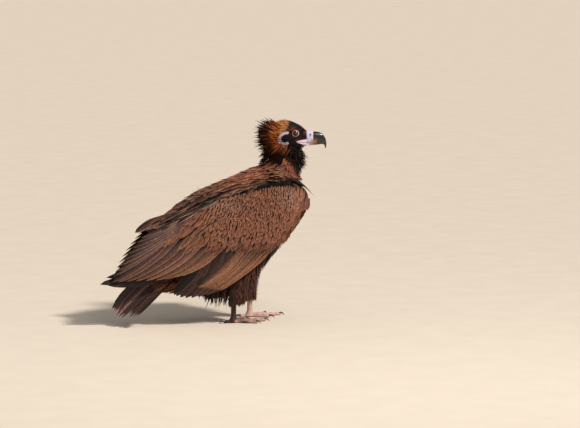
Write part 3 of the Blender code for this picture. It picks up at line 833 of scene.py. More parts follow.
def shaped_head():
    """The head's skin: the solids' own form with brow, eye socket, gape, nostril and folds."""
    points, faces = remeshed(*nodes_joined(("head", "cere")), 0.11, 12)
    here = to_head(points)
    normals = point_normals(here, faces)
    bare = head_bare(here)
    flank = smooth(0.8, 1.4, np.abs(here[:, 1]))
    push = -0.10 * (1 - bare)
    push += near(here, (2.9, 2.75), (6.4, 2.55), 0.25, 0.95, 0.26) * flank
    push -= near(here, (6.3, 1.2), (6.9, 0.2), 0.4, 1.5, 0.26) * flank
    push += mouth_and_ear_folds(here, flank)
    folds = np.sin(here[:, 0] * 9 + 2 * wobble(here, 2.0, 5)) * 0.02
    push += folds * smooth(0.4, 0.0, bare) * smooth(7.5, 6.0, here[:, 0])
    here = here + normals * push[:, None]
    socket = (1 - smooth(0.90, 1.25, eye_distance(here))) * (np.abs(here[:, 1]) > HEAD_SIDE)
    level = np.sign(here[:, 1]) * (EYE[1] - 0.35)
    here[:, 1] = here[:, 1] * (1 - socket) + level * socket
    return from_head(here), faces


LID_PROFILE = (  # distance from the eye's middle, height over the eyeball
    (0.74, -0.04), (0.75, 0.05), (0.81, 0.11), (0.91, 0.13), (1.02, 0.08), (1.14, -0.02), (1.30, -0.16),
    (1.20, -0.45), (0.85, -0.50),
)
LID_EDGE = 0.86  # how far out the lids follow the eyeball


def lids(side):
    """A pair of lids as one ring of skin that hugs the eyeball."""
    steps = 72
    points = []
    for turn in round_turns(steps):
        stretch = 1 + 0.08 * math.cos(2 * turn) - 0.06 * math.sin(turn) ** 2
        for radius, lift in LID_PROFILE:
            reach = radius * (1 + (stretch - 1) * smooth(1.3, 0.75, radius))
            ball = math.sqrt(max(EYE_RADIUS**2 - min(reach, LID_EDGE) ** 2, 0.02))
            slope = 0.55 * max(reach - LID_EDGE, 0)
            wrinkle = 0.02 * math.sin(turn * 18) * smooth(0.80, 1.0, radius)
            out = EYE[1] + ball + lift - slope + wrinkle
            points.append((EYE[0] + reach * math.cos(turn), side * out, EYE[2] + reach * math.sin(turn)))
    points = from_head(np.array(points))
    faces = np.array(band_faces(steps + 1, len(LID_PROFILE)), np.int32) % len(points)
    return points, outward(points, faces)


def eyeball(side):
    """A round eye: a dark iris and a black pupil that look out sideways and a little forward."""
    rings, sides = 40, 48
    gaze = unit(np.array((0.28, side, 0.02)))
    first = unit(np.cross(gaze, (0, 0, 1)))
    second = np.cross(gaze, first)
    points, colours = [], []
    for i in range(rings + 1):
        polar = math.pi * i / rings
        bulge = 1 + 0.05 * (1 - smooth(0.45, 0.75, polar))
        iris = mix(IRIS, PUPIL_AND_SHADE, 1 - smooth(0.30, 0.36, polar))
        for turn in round_turns(sides):
            flat = first * math.cos(turn) + second * math.sin(turn)
            points.append(gaze * math.cos(polar) * bulge + flat * math.sin(polar))
            colours.append(mix(iris, PUPIL_AND_SHADE, smooth(0.74, 0.84, polar)))
    points = np.array(points) * EYE_RADIUS + EYE * (1, side, 1)
    faces = outward(points, np.array(band_faces(rings + 1, sides), np.int32))
    name = WORD[side]
    thing = mesh_object("eyeball_" + name, from_head(points), faces, np.array(colours), material=LOOKS["eye"])
    finish_piece(thing, "eye", "eye_" + name)


UPPER_BILL = (  # in the head's frame: the ridge (x, z), the cutting edge (x, z), half width
    (10.25, 1.90, 10.25, -2.30, 1.22),
    (11.35, 1.88, 11.30, -2.32, 1.16),
    (12.45, 1.60, 12.30, -2.34, 1.04),
    (13.45, 0.95, 13.10, -2.38, 0.86),
    (14.25, -0.20, 13.75, -2.50, 0.62),
    (14.65, -1.50, 14.05, -2.85, 0.40),
    (14.68, -2.75, 14.20, -3.35, 0.22),
    (14.45, -3.85, 14.36, -3.95, 0.04),
)
LOWER_BILL = (  # in the head's frame: x, top, bottom, half width
    (7.9, -2.00, -2.85, 1.16),
    (9.2, -2.00, -2.80, 1.00),
    (10.4, -2.05, -2.66, 0.84),
    (11.8, -2.12, -2.55, 0.60),
    (12.8, -2.20, -2.42, 0.20),
)


def bent(value, power):
    """A sine or cosine with its curve made fuller or flatter, as in a superellipse."""
    return math.copysign(abs(value) ** power, value)


def upper_bill():
    """The hooked upper bill, with a rounded ridge and sharp cutting edges that overhang the lower bill."""
    rows, sides = 72, 40
    rings, colours = [], []
    for i in range(rows):
        share = i / (rows - 1)
        ridge_x, ridge_z, edge_x, edge_z, wide = smooth_through(UPPER_BILL, share)
        ring = []
        for turn in round_turns(sides):
            over = math.sin(turn)
            rise = 0.5 + 0.5 * bent(over, 0.95 if over > 0 else 0.7)
            reach = wide * bent(math.cos(turn), 0.85 if over > 0 else 0.5)
            reach *= 1 - 0.10 * smooth(0.3, -1.0, over)
            reach *= 1 - 0.04 * math.exp(-(((share - 0.05) / 0.02) ** 2))
            ring.append((edge_x + (ridge_x - edge_x) * rise, reach, edge_z + (ridge_z - edge_z) * rise))
            low = smooth(0.15, -0.5, over) * smooth(0.26, 0.05, share)
            # painted highlight: the upper side of the bill a little paler
            wear_and_highlight = 0.05 * smooth(0.2, 0.9, over)
            colours.append(mix(mix(HORN_DARK, HORN_PALE, wear_and_highlight), HORN_TAN, low * 0.85))
        rings.append(ring)
    return tube(rings), colours


def lower_bill():
    """The lower bill: pale like the cere at its root, then tan, then dark."""
    rows, sides = 40, 28
    rings, colours = [], []
    for i in range(rows):
        x, top, bottom, wide = smooth_through(LOWER_BILL, i / (rows - 1))
        ring = []
        for turn in round_turns(sides):
            height = (top + bottom) / 2 + (top - bottom) / 2 * bent(math.sin(turn), 0.7)
            ring.append((x, wide * bent(math.cos(turn), 0.7), height))
            skin_to_horn = mix(CERE_SKIN, HORN_TAN, smooth(8.3, 9.6, x))
            colours.append(mix(skin_to_horn, HORN_DARK, smooth(9.8, 11.0, x)))
        rings.append(ring)
    return tube(rings), colours


def build_bill():
    for name, make in (("bill_upper", upper_bill), ("bill_lower", lower_bill)):
        (points, faces), colours = make()
        points, colours = from_head(points), np.array(colours)
        thing = mesh_object("horn_" + name, points, faces, colours, material=LOOKS["horn"])
        finish_piece(thing, "horn", name)


# ---------------------------------------------------------------- legs

TOES = (  # heading from straight ahead towards the outside, length, radius at the root and tip, claw
    ("inner", math.radians(-34), 6.2, 0.82, 0.62, 2.5),
    ("middle", math.radians(2), 10.4, 0.85, 0.56, 2.2),
    ("outer", math.radians(32), 7.4, 0.78, 0.52, 1.8),
    ("hind", math.radians(176), 2.6, 0.78, 0.60, 2.5),
)
TOE_START = 0.9  # how far from the foot's middle a toe begins
TARSUS_LOW, SHANK_OVER = 1.3, 1.5  # where the tarsus solid begins, and how far the skin goes past its top


def foot_middle(side):
    """The middle of a foot, from where its leg stands."""
    middle = box_middle("tarsus_" + WORD[side]) - SHIFT
    middle[2] = 0
    return middle


def toe_frame(side, heading):
    turn = side * heading
    ahead = np.array((math.cos(turn), math.sin(turn), 0.0))
    return ahead, np.array((-ahead[1], ahead[0], 0.0))


def toe(side, heading, length, root, tip):
    """A toe with joint pads below and overlapping scutes along its top, flat where it stands."""
    middle = foot_middle(side)
    ahead, sideways = toe_frame(side, heading)
    rows, sides = int(length * 11) + 14, 22
    scutes = round(length / 0.42)
    rings = []
    for i in range(rows):
        share = i / (rows - 1)
        along = -0.5 + (length + 1.4) * share
        knuckle = 0.5 + 0.5 * math.cos(2 * math.pi * (along - 0.9) / 2.3)
        radius = (root + (tip - root) * share) * (0.90 + 0.12 * knuckle)
        radius *= (1 - smooth(0.93, 1.0, share) ** 2 * 0.75)
        scale = 1 - (share * scutes) % 1.0
        ring = []
        for k, turn in enumerate(round_turns(sides)):
            over = math.sin(turn)
            plate = 0.07 * scale * smooth(0.25, 0.7, over) * radius
            pad = 0.05 * smooth(-0.1, -0.8, over) * radius * math.sin(k * 2.1 + i * 0.9)
            reach = radius + plate + pad
            height = max(radius * 0.82 + over * reach, 0.0)
            ring.append(middle + ahead * along + sideways * math.cos(turn) * reach + (0, 0, height))
        rings.append(ring)
    return tube(rings)


def shank(side):
    """The bare lower leg and the foot's middle: plates down the front, small scales elsewhere."""
    low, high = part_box("tarsus_" + WORD[side])
    top = (high[2] - low[2]) / CM + TARSUS_LOW + SHANK_OVER
    middle = foot_middle(side)
    rows, sides = 90, 32
    rings = []
    for i in range(rows):
        share = i / (rows - 1)
        height = 0.05 + (top - 0.05) * share
        spread_out = 1 - smooth(0.2, 2.6, height)
        long_half = 0.86 + 0.95 * spread_out + 0.30 * smooth(6.5, 10.0, height)
        wide_half = 0.80 + 0.75 * spread_out + 0.25 * smooth(6.5, 10.0, height)
        squeeze = 1 - 0.55 * smooth(0.6, 0.0, height)
        scale = 1 - (height / 0.55) % 1.0
        ring = []
        for k, turn in enumerate(round_turns(sides)):
            front = math.cos(turn)
            plate = 0.06 * scale * smooth(0.35, 0.75, front)
            bead = 0.02 * math.sin(k * 2.4 + (i % 5) * 1.3) * smooth(0.6, 0.2, front)
            x = front * (long_half * squeeze + plate + bead)
            y = math.sin(turn) * (wide_half * squeeze + bead)
            ring.append(middle + np.array((x, y, height)))
        rings.append(ring)
    return tube(rings)


def leg_tone(places):
    """Leg colours: both are pinkish with tan soles; the near leg is darker above, which is painted shade."""
    right = places[:, 1] < 0
    tone = mix(np.broadcast_to(LEG_PINK, places.shape), LEG_TAN, smooth(0.7, 0.2, places[:, 2]) * 0.7)
    # painted shade for the near leg: darker above and towards the back
    dark = np.clip(smooth(0.5, 1.6, places[:, 2]) + smooth(-6.0, -7.6, places[:, 0]), 0, 1)
    dark = np.maximum(dark, 0.42 + 0.25 * wobble(places, 2.5, 8))
    tone = mix(tone, LEG_DARK, np.clip(np.where(right, dark, 0.0), 0, 1))
    speck = smooth(0.5, 1.1, wobble(places, 0.9, 31))
    return mix(tone, LEG_DARK, speck * 0.25)


def claw(side, heading, length, reach):
    """A curved, tapering claw that comes down to the ground at its tip."""
    middle = foot_middle(side)
    ahead, sideways = toe_frame(side, heading)
    base = middle + ahead * (TOE_START + length * 0.985)
    rows, sides = 22, 16
    rings = []
    for i in range(rows):
        share = i / (rows - 1)
        turn = math.radians(12 - 66 * share)
        along = reach * (share - 0.10 * share**2) - 0.35
        rise = 0.62 + 0.34 * math.sin(math.pi * min(1.0, share * 1.1)) - 0.57 * share**2
        radius = max(0.42 * (1 - share) ** 0.7, 0.02)
        up = ahead * -math.sin(turn) + np.array((0, 0, math.cos(turn)))
        ring = []
        for around in round_turns(sides):
            place = base + ahead * along + (0, 0, rise)
            place = place + sideways * math.cos(around) * radius * 0.78 + up * math.sin(around) * radius
            place[2] = max(place[2], 0.0)
            ring.append(place)
        rings.append(ring)
    return tube(rings)


def build_claws():
    for side in (RIGHT, LEFT):
        for label, heading, length, _, _, reach in TOES:
            name = f"{WORD[side]}_{label}"
            points, faces = claw(side, heading, length, reach)
            tan = 0.12 + 0.10 * wobble(points, 0.8, 3)
            tone = mix(np.broadcast_to(CLAW_DARK, points.shape), HORN_TAN, tan)
            thing = mesh_object("talon_" + name, points, faces, tone, material=LOOKS["horn"])
            finish_piece(thing, "horn", "claw_" + name)


# ---------------------------------------------------------------- the folded wing's outline

BAND_EDGE = (  # where the coverts end over the long feathers, (x, z)
    (16.0, 40.0), (14.0, 36.0), (10.6, 30.2), (5.0, 25.4), (-4.0, 25.4), (-15.0, 25.8), (-20.0, 27.4),
    (-24.5, 30.4), (-29.0, 34.4),
)
WING_TOP = (  # the folded wing's upper edge, (x, z)
    (18.2, 45.7), (15.4, 47.3), (10.9, 48.3), (5.8, 48.4), (0.2, 47.3), (-5.3, 46.0), (-12.5, 43.6),
    (-19.7, 40.8), (-26.8, 37.2), (-33.8, 33.4),
)


def edge_height(edge, x):
    """The z of a boundary at places x."""
    edge = np.array(sorted(edge))
    return np.interp(x, edge[:, 0], edge[:, 1])


def gap_width(x):
    """How wide the shadowed gap over the folded wing is, at places along it."""
    return 0.6 + 0.9 * smooth(-12, -2, x) * smooth(16, 8, x)


def wing_gap(places):
    """1 in the shadowed gap between the mantle and the folded wing's upper edge, where plumage and skin get
    painted shade.
    """
    x, y, z = places.T
    wide = 1.0 + 0.9 * smooth(-10, 0, x) * smooth(16, 8, x)
    away = np.abs(z - edge_height(WING_TOP, x) + 0.2)
    return (1 - smooth(0.7, 1.3, away / wide)) * smooth(4.5, 6.0, np.abs(y)) * smooth(-31, -26, x)


# ---------------------------------------------------------------- the body's skin

REGIONS = (
    "trunk", "neck", "ruff", "trousers_right", "trousers_left", "wing_arm_right", "wing_arm_left", "head",
    "cere",
)
DEPTHS = {"trunk": 0.9, "neck": 1.0, "ruff": 3.2, "trousers": 1.3, "wing_arm": 0.5, "head": 0.9, "cere": 0.9}


class Regions:
    """Which named part of the body a place belongs to."""

    def __init__(self):
        self.trees = [tree_of(*nodes_joined((name,))) for name in REGIONS]

    def of(self, places):
        away = [[tree.find_nearest(place)[3] for tree in self.trees] for place in places.tolist()]
        return np.argmin(away, axis=1)


def region(*names):
    return [REGIONS.index(name) for name in names]


BACK_HEIGHT, BACK_SLOPE = 50.4, 0.47  # of the line of the back: its height over the feet, its rise forward


def below_back(places):
    """How far places are below the line of the back."""
    return BACK_HEIGHT + BACK_SLOPE * places[:, 0] - places[:, 2]


def body_tone(places):
    """Colour of the plumage on the body, by place."""
    x, _, z = places.T
    under = below_back(places)
    tone = mix(np.broadcast_to(MANTLE, places.shape), MANTLE_REAR, smooth(-2, -18, x))
    tone = mix(tone, BREAST, smooth(7, 13, under))
    tone = mix(tone, BELLY, smooth(17, 24, under))
    tone = mix(tone, NECK_BASE, smooth(4, 9, x) * smooth(44, 49, z))
    tone = mix(tone, TROUSER, smooth(24, 20, z) * smooth(-14, -8, x))
    tone = mix(tone, VENT, smooth(-17, -24, x) * smooth(24, 17, z))
    orange = smooth(0.1, 0.9, wobble(places, 5.0, 5)) * smooth(-18, -24, x) * smooth(23, 17, z)
    tone = mix(tone, RUFOUS, orange * 0.85)
    here = to_head(places)
    ahead = ahead_of_stripe(here)
    tone = mix(tone, NAPE, 0.6 * smooth(-8.6, -7.0, here[:, 2]) * smooth(1.2, 0.2, np.abs(ahead + 0.5)))
    tone = mix(tone, THROAT, smooth(-0.3, 0.7, ahead) * smooth(-12.6, -11.0, here[:, 2]))
    # painted shade: the plumage in the gap over the folded wing is darkened nearly to black
    return mix(tone, PUPIL_AND_SHADE, wing_gap(places) * 0.85)


def thickness(surface):
    """How far the far side of the body is behind each point of its surface."""
    inward = surface.points - surface.normals * 0.05
    found = []
    for place, way in zip(inward.tolist(), (-surface.normals).tolist()):
        found.append(surface.tree.ray_cast(place, way)[3] or 0.5)
    return np.array(found)


def body_skin(guide, labels):
    """The guide surface drawn in by the depth of the plumage, and by less where the body is thin."""
    depth = np.zeros(len(guide.points))
    for index, name in enumerate(REGIONS):
        depth[labels == index] = DEPTHS[name.replace("_right", "").replace("_left", "")]
    depth = np.minimum(depth, 0.32 * thickness(guide))
    for _ in range(6):
        total = np.zeros_like(depth)
        count = np.zeros_like(depth)
        for k in range(3):
            for other in (1, 2):
                total += np.bincount(guide.faces[:, k], depth[guide.faces[:, (k + other) % 3]], len(depth))
                count += np.bincount(guide.faces[:, k], minlength=len(depth))
        depth = total / np.maximum(count, 1)
    points = guide.points - guide.normals * depth[:, None]
    return remeshed(points, guide.faces, 0.45, 6)


def skin_tone(points):
    """The skin's colours: where it is feathered, the coat's, halved as painted shade under the feathers and
    painted black as shade in the wing gap; the bare parts have their own markings.
    """
    # painted shade: under the plumage the skin takes the down's and the coat's colours at half brightness
    tone = mix(np.broadcast_to(DOWN_SKIN, points.shape), body_tone(points), 0.6) * 0.5
    # painted shade: black in the gap over the folded wing
    tone = mix(tone, PUPIL_AND_SHADE, wing_gap(points))
    here = to_head(points)
    on_head = (here[:, 0] > -4.2) & (here[:, 2] > -5.9) & (np.abs(here[:, 1]) < 3.75)
    tone[on_head] = head_skin_tone(here[on_head])
    on_leg = points[:, 2] < 9.0
    tone[on_leg] = leg_tone(points[on_leg])
    return tone


def unwrapped(thing):
    """Gives the skin an unwrap of its own shape."""
    bpy.context.view_layer.objects.active = thing
    thing.select_set(True)
    bpy.ops.object.mode_set(mode="EDIT")
    bpy.ops.mesh.select_all(action="SELECT")
    bpy.ops.uv.smart_project(angle_limit=math.radians(66), island_margin=0.002)
    bpy.ops.object.mode_set(mode="OBJECT")
    thing.select_set(False)
    thing.data.uv_layers[0].name = MAP_NAME


def build_skin(guide, labels):
    """One skin over the whole body, the head and the feet, with its unwrap."""
    parts = [body_skin(guide, labels), shaped_head()]
    for side in (RIGHT, LEFT):
        parts.append(shank(side))
        for _, heading, length, root, tip, _ in TOES:
            parts.append(toe(side, heading, length, root, tip))
    points, faces = joined((united(parts), lids(RIGHT), lids(LEFT)))
    thing = mesh_object("skin", points, faces, skin_tone(points), material=LOOKS["skin"])
    unwrapped(thing)
    hidden = [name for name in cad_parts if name.startswith(("tarsus", "foot", "trousers", "wing_arm"))]
    finish_piece(thing, "bare_skin", "trunk", "neck", "ruff", "head", "cere", *hidden)
    return thing


class SkinMap:
    """The skin's unwrap, which says where on it a feather's root lies."""

    def __init__(self, thing):
        mesh = thing.data
        count = len(mesh.polygons)
        corners = np.empty(count * 3, np.int32)
        mesh.polygons.foreach_get("vertices", corners)
        flat = np.empty(count * 6, np.float32)
        mesh.uv_layers[MAP_NAME].data.foreach_get("uv", flat)
        places = np.empty(len(mesh.vertices) * 3, np.float32)
        mesh.vertices.foreach_get("co", places)
        self.middles = flat.reshape(count, 3, 2).mean(axis=1)
        self.tree = tree_of(places.reshape(-1, 3) / CM - SHIFT, corners.reshape(-1, 3))

    def places(self, roots):
        found = [self.tree.find_nearest(root)[2] for root in roots.tolist()]
        return self.middles[found].astype(float)


# ---------------------------------------------------------------- plumage of the body


def body_heading(places):
    """The lie of the body's feathers: back along the mantle, down over the breast and the thighs."""
    x, y, z = places.T
    front = smooth(0, 13, x - 0.55 * (z - 44))[:, None]
    low = (smooth(24, 16, z) * smooth(-16, -8, x))[:, None]
    way = np.array((-0.90, 0.0, -0.43)) * (1 - front) + np.array((-0.35, 0.0, -0.94)) * front
    way = way * (1 - low) + np.array((-0.25, 0.0, -0.97)) * low
    way[:, 1] += 0.22 * np.sign(y) * smooth(40, 48, z)
    return way


TRACTS = {  # spacing, length, half width, rows, lift of the tips, share that hugs the body, rim
    "mantle": (1.30, 5.6, 0.95, 7, 0.25, 0.8, 0.30),
    "rump": (1.45, 6.5, 1.25, 6, 0.25, 0.7, 0.35),
    "neck": (0.60, 2.4, 0.62, 5, 0.25, 0.9, 0.30),
    "throat": (0.42, 2.1, 0.26, 5, 0.55, 0.6, 0.0),
    "breast": (0.95, 4.6, 0.60, 6, 0.35, 0.8, 0.18),
    "belly": (1.25, 5.2, 0.75, 5, 0.40, 0.7, 0.10),
    "vent": (0.95, 4.6, 0.55, 5, 0.60, 0.6, 0.25),
    "trousers": (0.60, 4.2, 0.34, 6, 0.50, 0.75, 0.12),
}
LOWEST_ROOT = 4.5  # no feather of the body grows below this height
HIDDEN_SPACING = 2.4  # how much sparser the feathers are where a wing lies over them
BLUNT = {"mantle": 1.5, "rump": 1.6, "neck": 1.4}  # how blunt the tips are, where it isn't 1.2


def tract_of(places, labels):
    """Which tract each place is in, by name."""
    x, _, z = places.T
    under = below_back(places)
    names = np.full(len(places), "belly", dtype=object)
    names[under < 16] = "breast"
    names[(under < 9.5) & (x > -16)] = "mantle"
    names[(under < 9.5) & (x <= -16)] = "rump"
    names[(x < -17) & (z < 24) & (under > 9.5)] = "vent"
    names[np.isin(labels, region("neck"))] = "neck"
    names[(labels == region("trunk")[0]) & (z > 48.5) & (x > 7)] = "neck"
    names[np.isin(labels, region("trousers_right", "trousers_left"))] = "trousers"
    names[np.isin(labels, region("ruff", "wing_arm_right", "wing_arm_left"))] = "none"
    here = to_head(places)
    front = (ahead_of_stripe(here) > 0.2) & (here[:, 2] > -11.8) & np.isin(labels, region("neck"))
    names[front] = "throat"
    names[np.isin(labels, region("head", "cere"))] = "none"
    return names


def clear_of_shanks(roots, lengths):
    """Thigh feathers that end above the bare shanks."""
    kept = roots[:, 2] > 7.6
    return roots[kept], np.minimum(lengths, (roots[:, 2] - 5.8) / 0.9)[kept]


def tract_feathers(label, guide, skin, roots, rng):
    """The feathers of one tract."""
    _, length, half, rows, lift, hug, rim = TRACTS[label]
    lengths = length * rng.uniform(0.8, 1.2, len(roots))
    if label == "trousers":
        roots, lengths = clear_of_shanks(roots, lengths)
    rough = rng.normal(0, 0.12, roots.shape)

    def heading(places):
        return unit(body_heading(places)) + rough

    lines, ups = follow(guide, roots, heading, lengths, rows - 1, hug)
    depth = 1.1 if label == "trousers" else 0.7
    lines = raised(lines, ups, depth, lift * rng.uniform(0.4, 1.5, len(roots)))
    kept = settled(guide, lines, 1.4) | (label in ("trousers", "vent"))
    roots, count = roots[kept], kept.sum()
    tones = rows_of_tone(body_tone(roots), rows, rng, 0.50, 1.12, 0.18)
    halves = half * rng.uniform(0.8, 1.2, count)
    rims = rim * rng.uniform(0.4, 1.4, count)
    grown("feathers_" + label, "plumage", "plumage", skin, lines[kept], ups[kept], halves, tones, rims,
          columns=5 if half > 0.5 else 3, widest=0.5, blunt=BLUNT.get(label, 1.2), fray=0.25,
          roll=rng.normal(0, 0.10, count), seed=3)


def body_coats(guide, regions, skin, wings):
    """The tracts of small feathers over the neck, trunk and thighs."""
    rng = np.random.default_rng(11)
    roots, _ = guide.scattered(60000, rng)
    names = tract_of(roots, regions.of(roots))
    spacing = np.array([TRACTS[name][0] if name in TRACTS else 9.0 for name in names])
    spacing[np.any([wing.covers(roots) for wing in wings], axis=0)] *= HIDDEN_SPACING
    keep = (names != "none") & (roots[:, 2] > LOWEST_ROOT)
    roots, names, spacing = roots[keep], names[keep], spacing[keep]
    kept = thinned(roots, spacing)
    roots, names = roots[kept], names[kept]
    for label in TRACTS:
        tract_feathers(label, guide, skin, roots[names == label], rng)


SCAPULAR_ROWS = (  # height over the wing's upper edge, distance from the middle, share of it that is dark: painted shade, most in the row next to the wing gap
    (0.9, 8.2, 0.75),
    (2.0, 7.7, 0.35),
    (3.3, 6.9, 0.15),
    (4.6, 6.0, 0.0),
)


def scapular_roots(rng):
    """Roots, lengths, half widths and colours of the scapulars of both sides."""
    found = []
    for side in (RIGHT, LEFT):
        for row, (above, beside, darkness) in enumerate(SCAPULAR_ROWS):
            count = 17 - row
            for k in range(count):
                share = (k + 0.5 * (row % 2)) / count
                x = 13.5 - 39.0 * share + rng.uniform(-0.7, 0.7)
                z = float(edge_height(WING_TOP, np.array((x,)))[0]) + above + 0.4
                length = (5.6 + 6.2 * smooth(0.15, 0.65, share)) * rng.uniform(0.85, 1.15)
                half = (0.60 + 0.45 * smooth(0.1, 0.6, share)) * rng.uniform(0.85, 1.15)
                # the row's darkness is painted shade beside the wing gap; the random darkening towards the
                # rear is the feathers' own colour
                dark = min(1.0, darkness + 0.6 * smooth(0.3, 0.6, share) * rng.random())
                tone = mix(mix(MANTLE, TERTIAL, smooth(0.3, 0.8, share)), PRIMARY, dark)
                found.append(((x, side * beside, z), length, half, tone))
    return [np.array(column) for column in zip(*found)]


def scapulars(guide, skin):
    """Long pointed feathers along both sides of the back, whose tips hang over the wing's upper edge."""
    rng = np.random.default_rng(81)
    roots, lengths, halves, tones = scapular_roots(rng)
    rough = rng.normal(0, 0.04, roots.shape)

    def heading(places):
        slope = 0.30 + 0.22 * smooth(0, -20, places[:, 0])
        return np.stack((-np.ones(len(places)), 0.06 * np.sign(places[:, 1]), -slope), axis=1) + rough

    rows = 10
    lines, ups = follow(guide, roots, heading, lengths, rows - 1)
    lines = raised(lines, ups, 0.15, rng.uniform(0.35, 0.8, len(roots)))
    kept = settled(guide, lines, 1.3)
    side = np.sign(roots[:, 1])[kept]
    tones = rows_of_tone(tones[kept], rows, rng, 0.6, 1.08, 0.2)
    rims = rng.uniform(0.3, 1.0, len(side))
    grown("feathers_scapular", "plumage", "flight", skin, lines[kept], ups[kept], halves[kept], tones, rims,
          columns=7, camber=0.16, widest=0.5, blunt=1.4, quill=0.4, fray=0.12, roll=side * 0.20,
          mirrored=side > 0, seed=82)


SPIKE = {"columns": 3, "camber": 0.5, "quill": 0.5}  # the blade of a stiff narrow feather
RUFF_LAYERS = (  # spacing, shortest, longest, half width, how far beyond the outline, how unruly
    (0.50, 3.0, 4.8, 0.16, 0.12, 0.12),
    (1.05, 5.0, 6.8, 0.30, 0.32, 0.15),
)


def ruff_limit(places):
    """How far behind the stripe the ruff may start, further back where it flares out at the sides."""
    return -0.7 - 0.42 * np.clip(np.abs(places[:, 1]) - 3.2, 0, 5)


def ruff_lines(roots, normals, here, lengths, reach, spread_by, rng, rows):
    """Spikes that point away from the face in the side view and end a little beyond the ruff's outline."""
    away = (here - np.array((1.2, 0.0, -0.8))) * np.array((1.0, 0.30, 1.0))
    away = unit(away) @ HEAD_AXES
    along = away - 0.35 * np.clip((away * normals).sum(axis=1, keepdims=True), 0, 1) * normals
    way = unit(along + rng.normal(0, spread_by, roots.shape))
    shares = np.linspace(0, 1, rows)[None, :, None]
    start = roots - way * lengths[:, None] * reach - normals * 0.35
    lines = start[:, None] + way[:, None] * (lengths[:, None, None] * shares)
    return lines + np.array((0, 0, -0.35)) * shares**3


def ruff_coat(guide, regions, skin):
    """Long stiff spikes that stand round the back of the head: orange-brown with black tips."""
    rng = np.random.default_rng(21)
    roots, normals = guide.scattered(90000, rng)
    close = np.linalg.norm(roots - HEAD_PLACE, axis=1) < 15
    roots, normals = roots[close], normals[close]
    here = to_head(roots)
    mine = (regions.of(roots) == region("ruff")[0]) & (ahead_of_stripe(here) < ruff_limit(here))
    roots, normals = roots[mine], normals[mine]
    coat = Coat(skin)
    rows = 8
    shares = np.linspace(0, 1, rows)[None, :]
    for spacing, low, high, thick, beyond, spread_by in RUFF_LAYERS:
        kept = thinned(roots, np.full(len(roots), spacing))
        here = to_head(roots[kept])
        count = len(kept)
        lengths = rng.uniform(low, high, count)
        reach = 1 - beyond * rng.uniform(0.2, 1.4, (count, 1))
        lines = ruff_lines(roots[kept], normals[kept], here, lengths, reach, spread_by, rng, rows)
        inner = smooth(5.0, 1.0, -ahead_of_stripe(here))
        tone = mix(np.broadcast_to(RUFF_BROWN, (count, 3)), NAPE, inner) * rng.uniform(0.45, 1.5, (count, 1))
        low_part = smooth(-4.0, -8.0, here[:, 2])[:, None]
        dark = smooth(0.40, 0.80, shares + rng.uniform(-0.2, 0.2, (count, 1)) + 0.35 * low_part)
        ups = np.broadcast_to(normals[kept][:, None], lines.shape)
        coat.add(lines, ups, thick * rng.uniform(0.75, 1.3, count), mix(tone[:, None], RUFF_TIP, dark),
                 np.zeros(count), **SPIKE, widest=0.30, blunt=1.05, fray=0.2, roll=rng.normal(0, 0.4, count),
                 seed=22)
    coat.build("feathers_ruff", "ruff", "down")


def stripe_coat(skin, head):
    """Shorter tufts that start on the head along the stripe and fan out into the ruff."""
    rng = np.random.default_rng(91)
    roots, normals = head.scattered(40000, rng)
    here = to_head(roots)
    ahead = ahead_of_stripe(here) + 0.6 * smooth(-0.5, -2.0, here[:, 2])
    mine = (ahead < -0.2) & (ahead > -3.0) & (here[:, 2] > -4.2)
    roots, normals, here = roots[mine], normals[mine], here[mine]
    kept = thinned(roots, np.full(len(roots), 0.30))
    roots, normals, here = roots[kept], normals[kept], here[kept]
    count, rows = len(roots), 6
    away = (here - np.array((2.0, 0.0, -0.4))) * np.array((1.0, 0.25, 1.0))
    away = unit(away) @ HEAD_AXES
    near_face = smooth(-1.9, -0.3, ahead_of_stripe(here))
    way = unit(away + (0.75 - 0.6 * near_face)[:, None] * normals + rng.normal(0, 0.13, roots.shape))
    lengths = rng.uniform(1.8, 3.6, count) * (1 - 0.45 * near_face)
    shares = np.linspace(0, 1, rows)[None, :, None]
    lines = (roots - normals * 0.1)[:, None] + way[:, None] * (lengths[:, None, None] * shares)
    lines = lines + away[:, None] * (0.5 * shares**2)
    tone = np.broadcast_to(NAPE, roots.shape) * rng.uniform(0.55, 1.5, (count, 1))
    tones = mix(tone[:, None], RUFF_BROWN, smooth(0.3, 1.0, shares[..., 0]) * np.ones((count, 1)))
    ups = np.broadcast_to(normals[:, None], lines.shape)
    grown("feathers_stripe", "ruff", "down", skin, lines, ups, rng.uniform(0.09, 0.18, count), tones,
          np.zeros(count), **SPIKE, widest=0.35, blunt=1.1, roll=rng.normal(0, 0.5, count), seed=92)


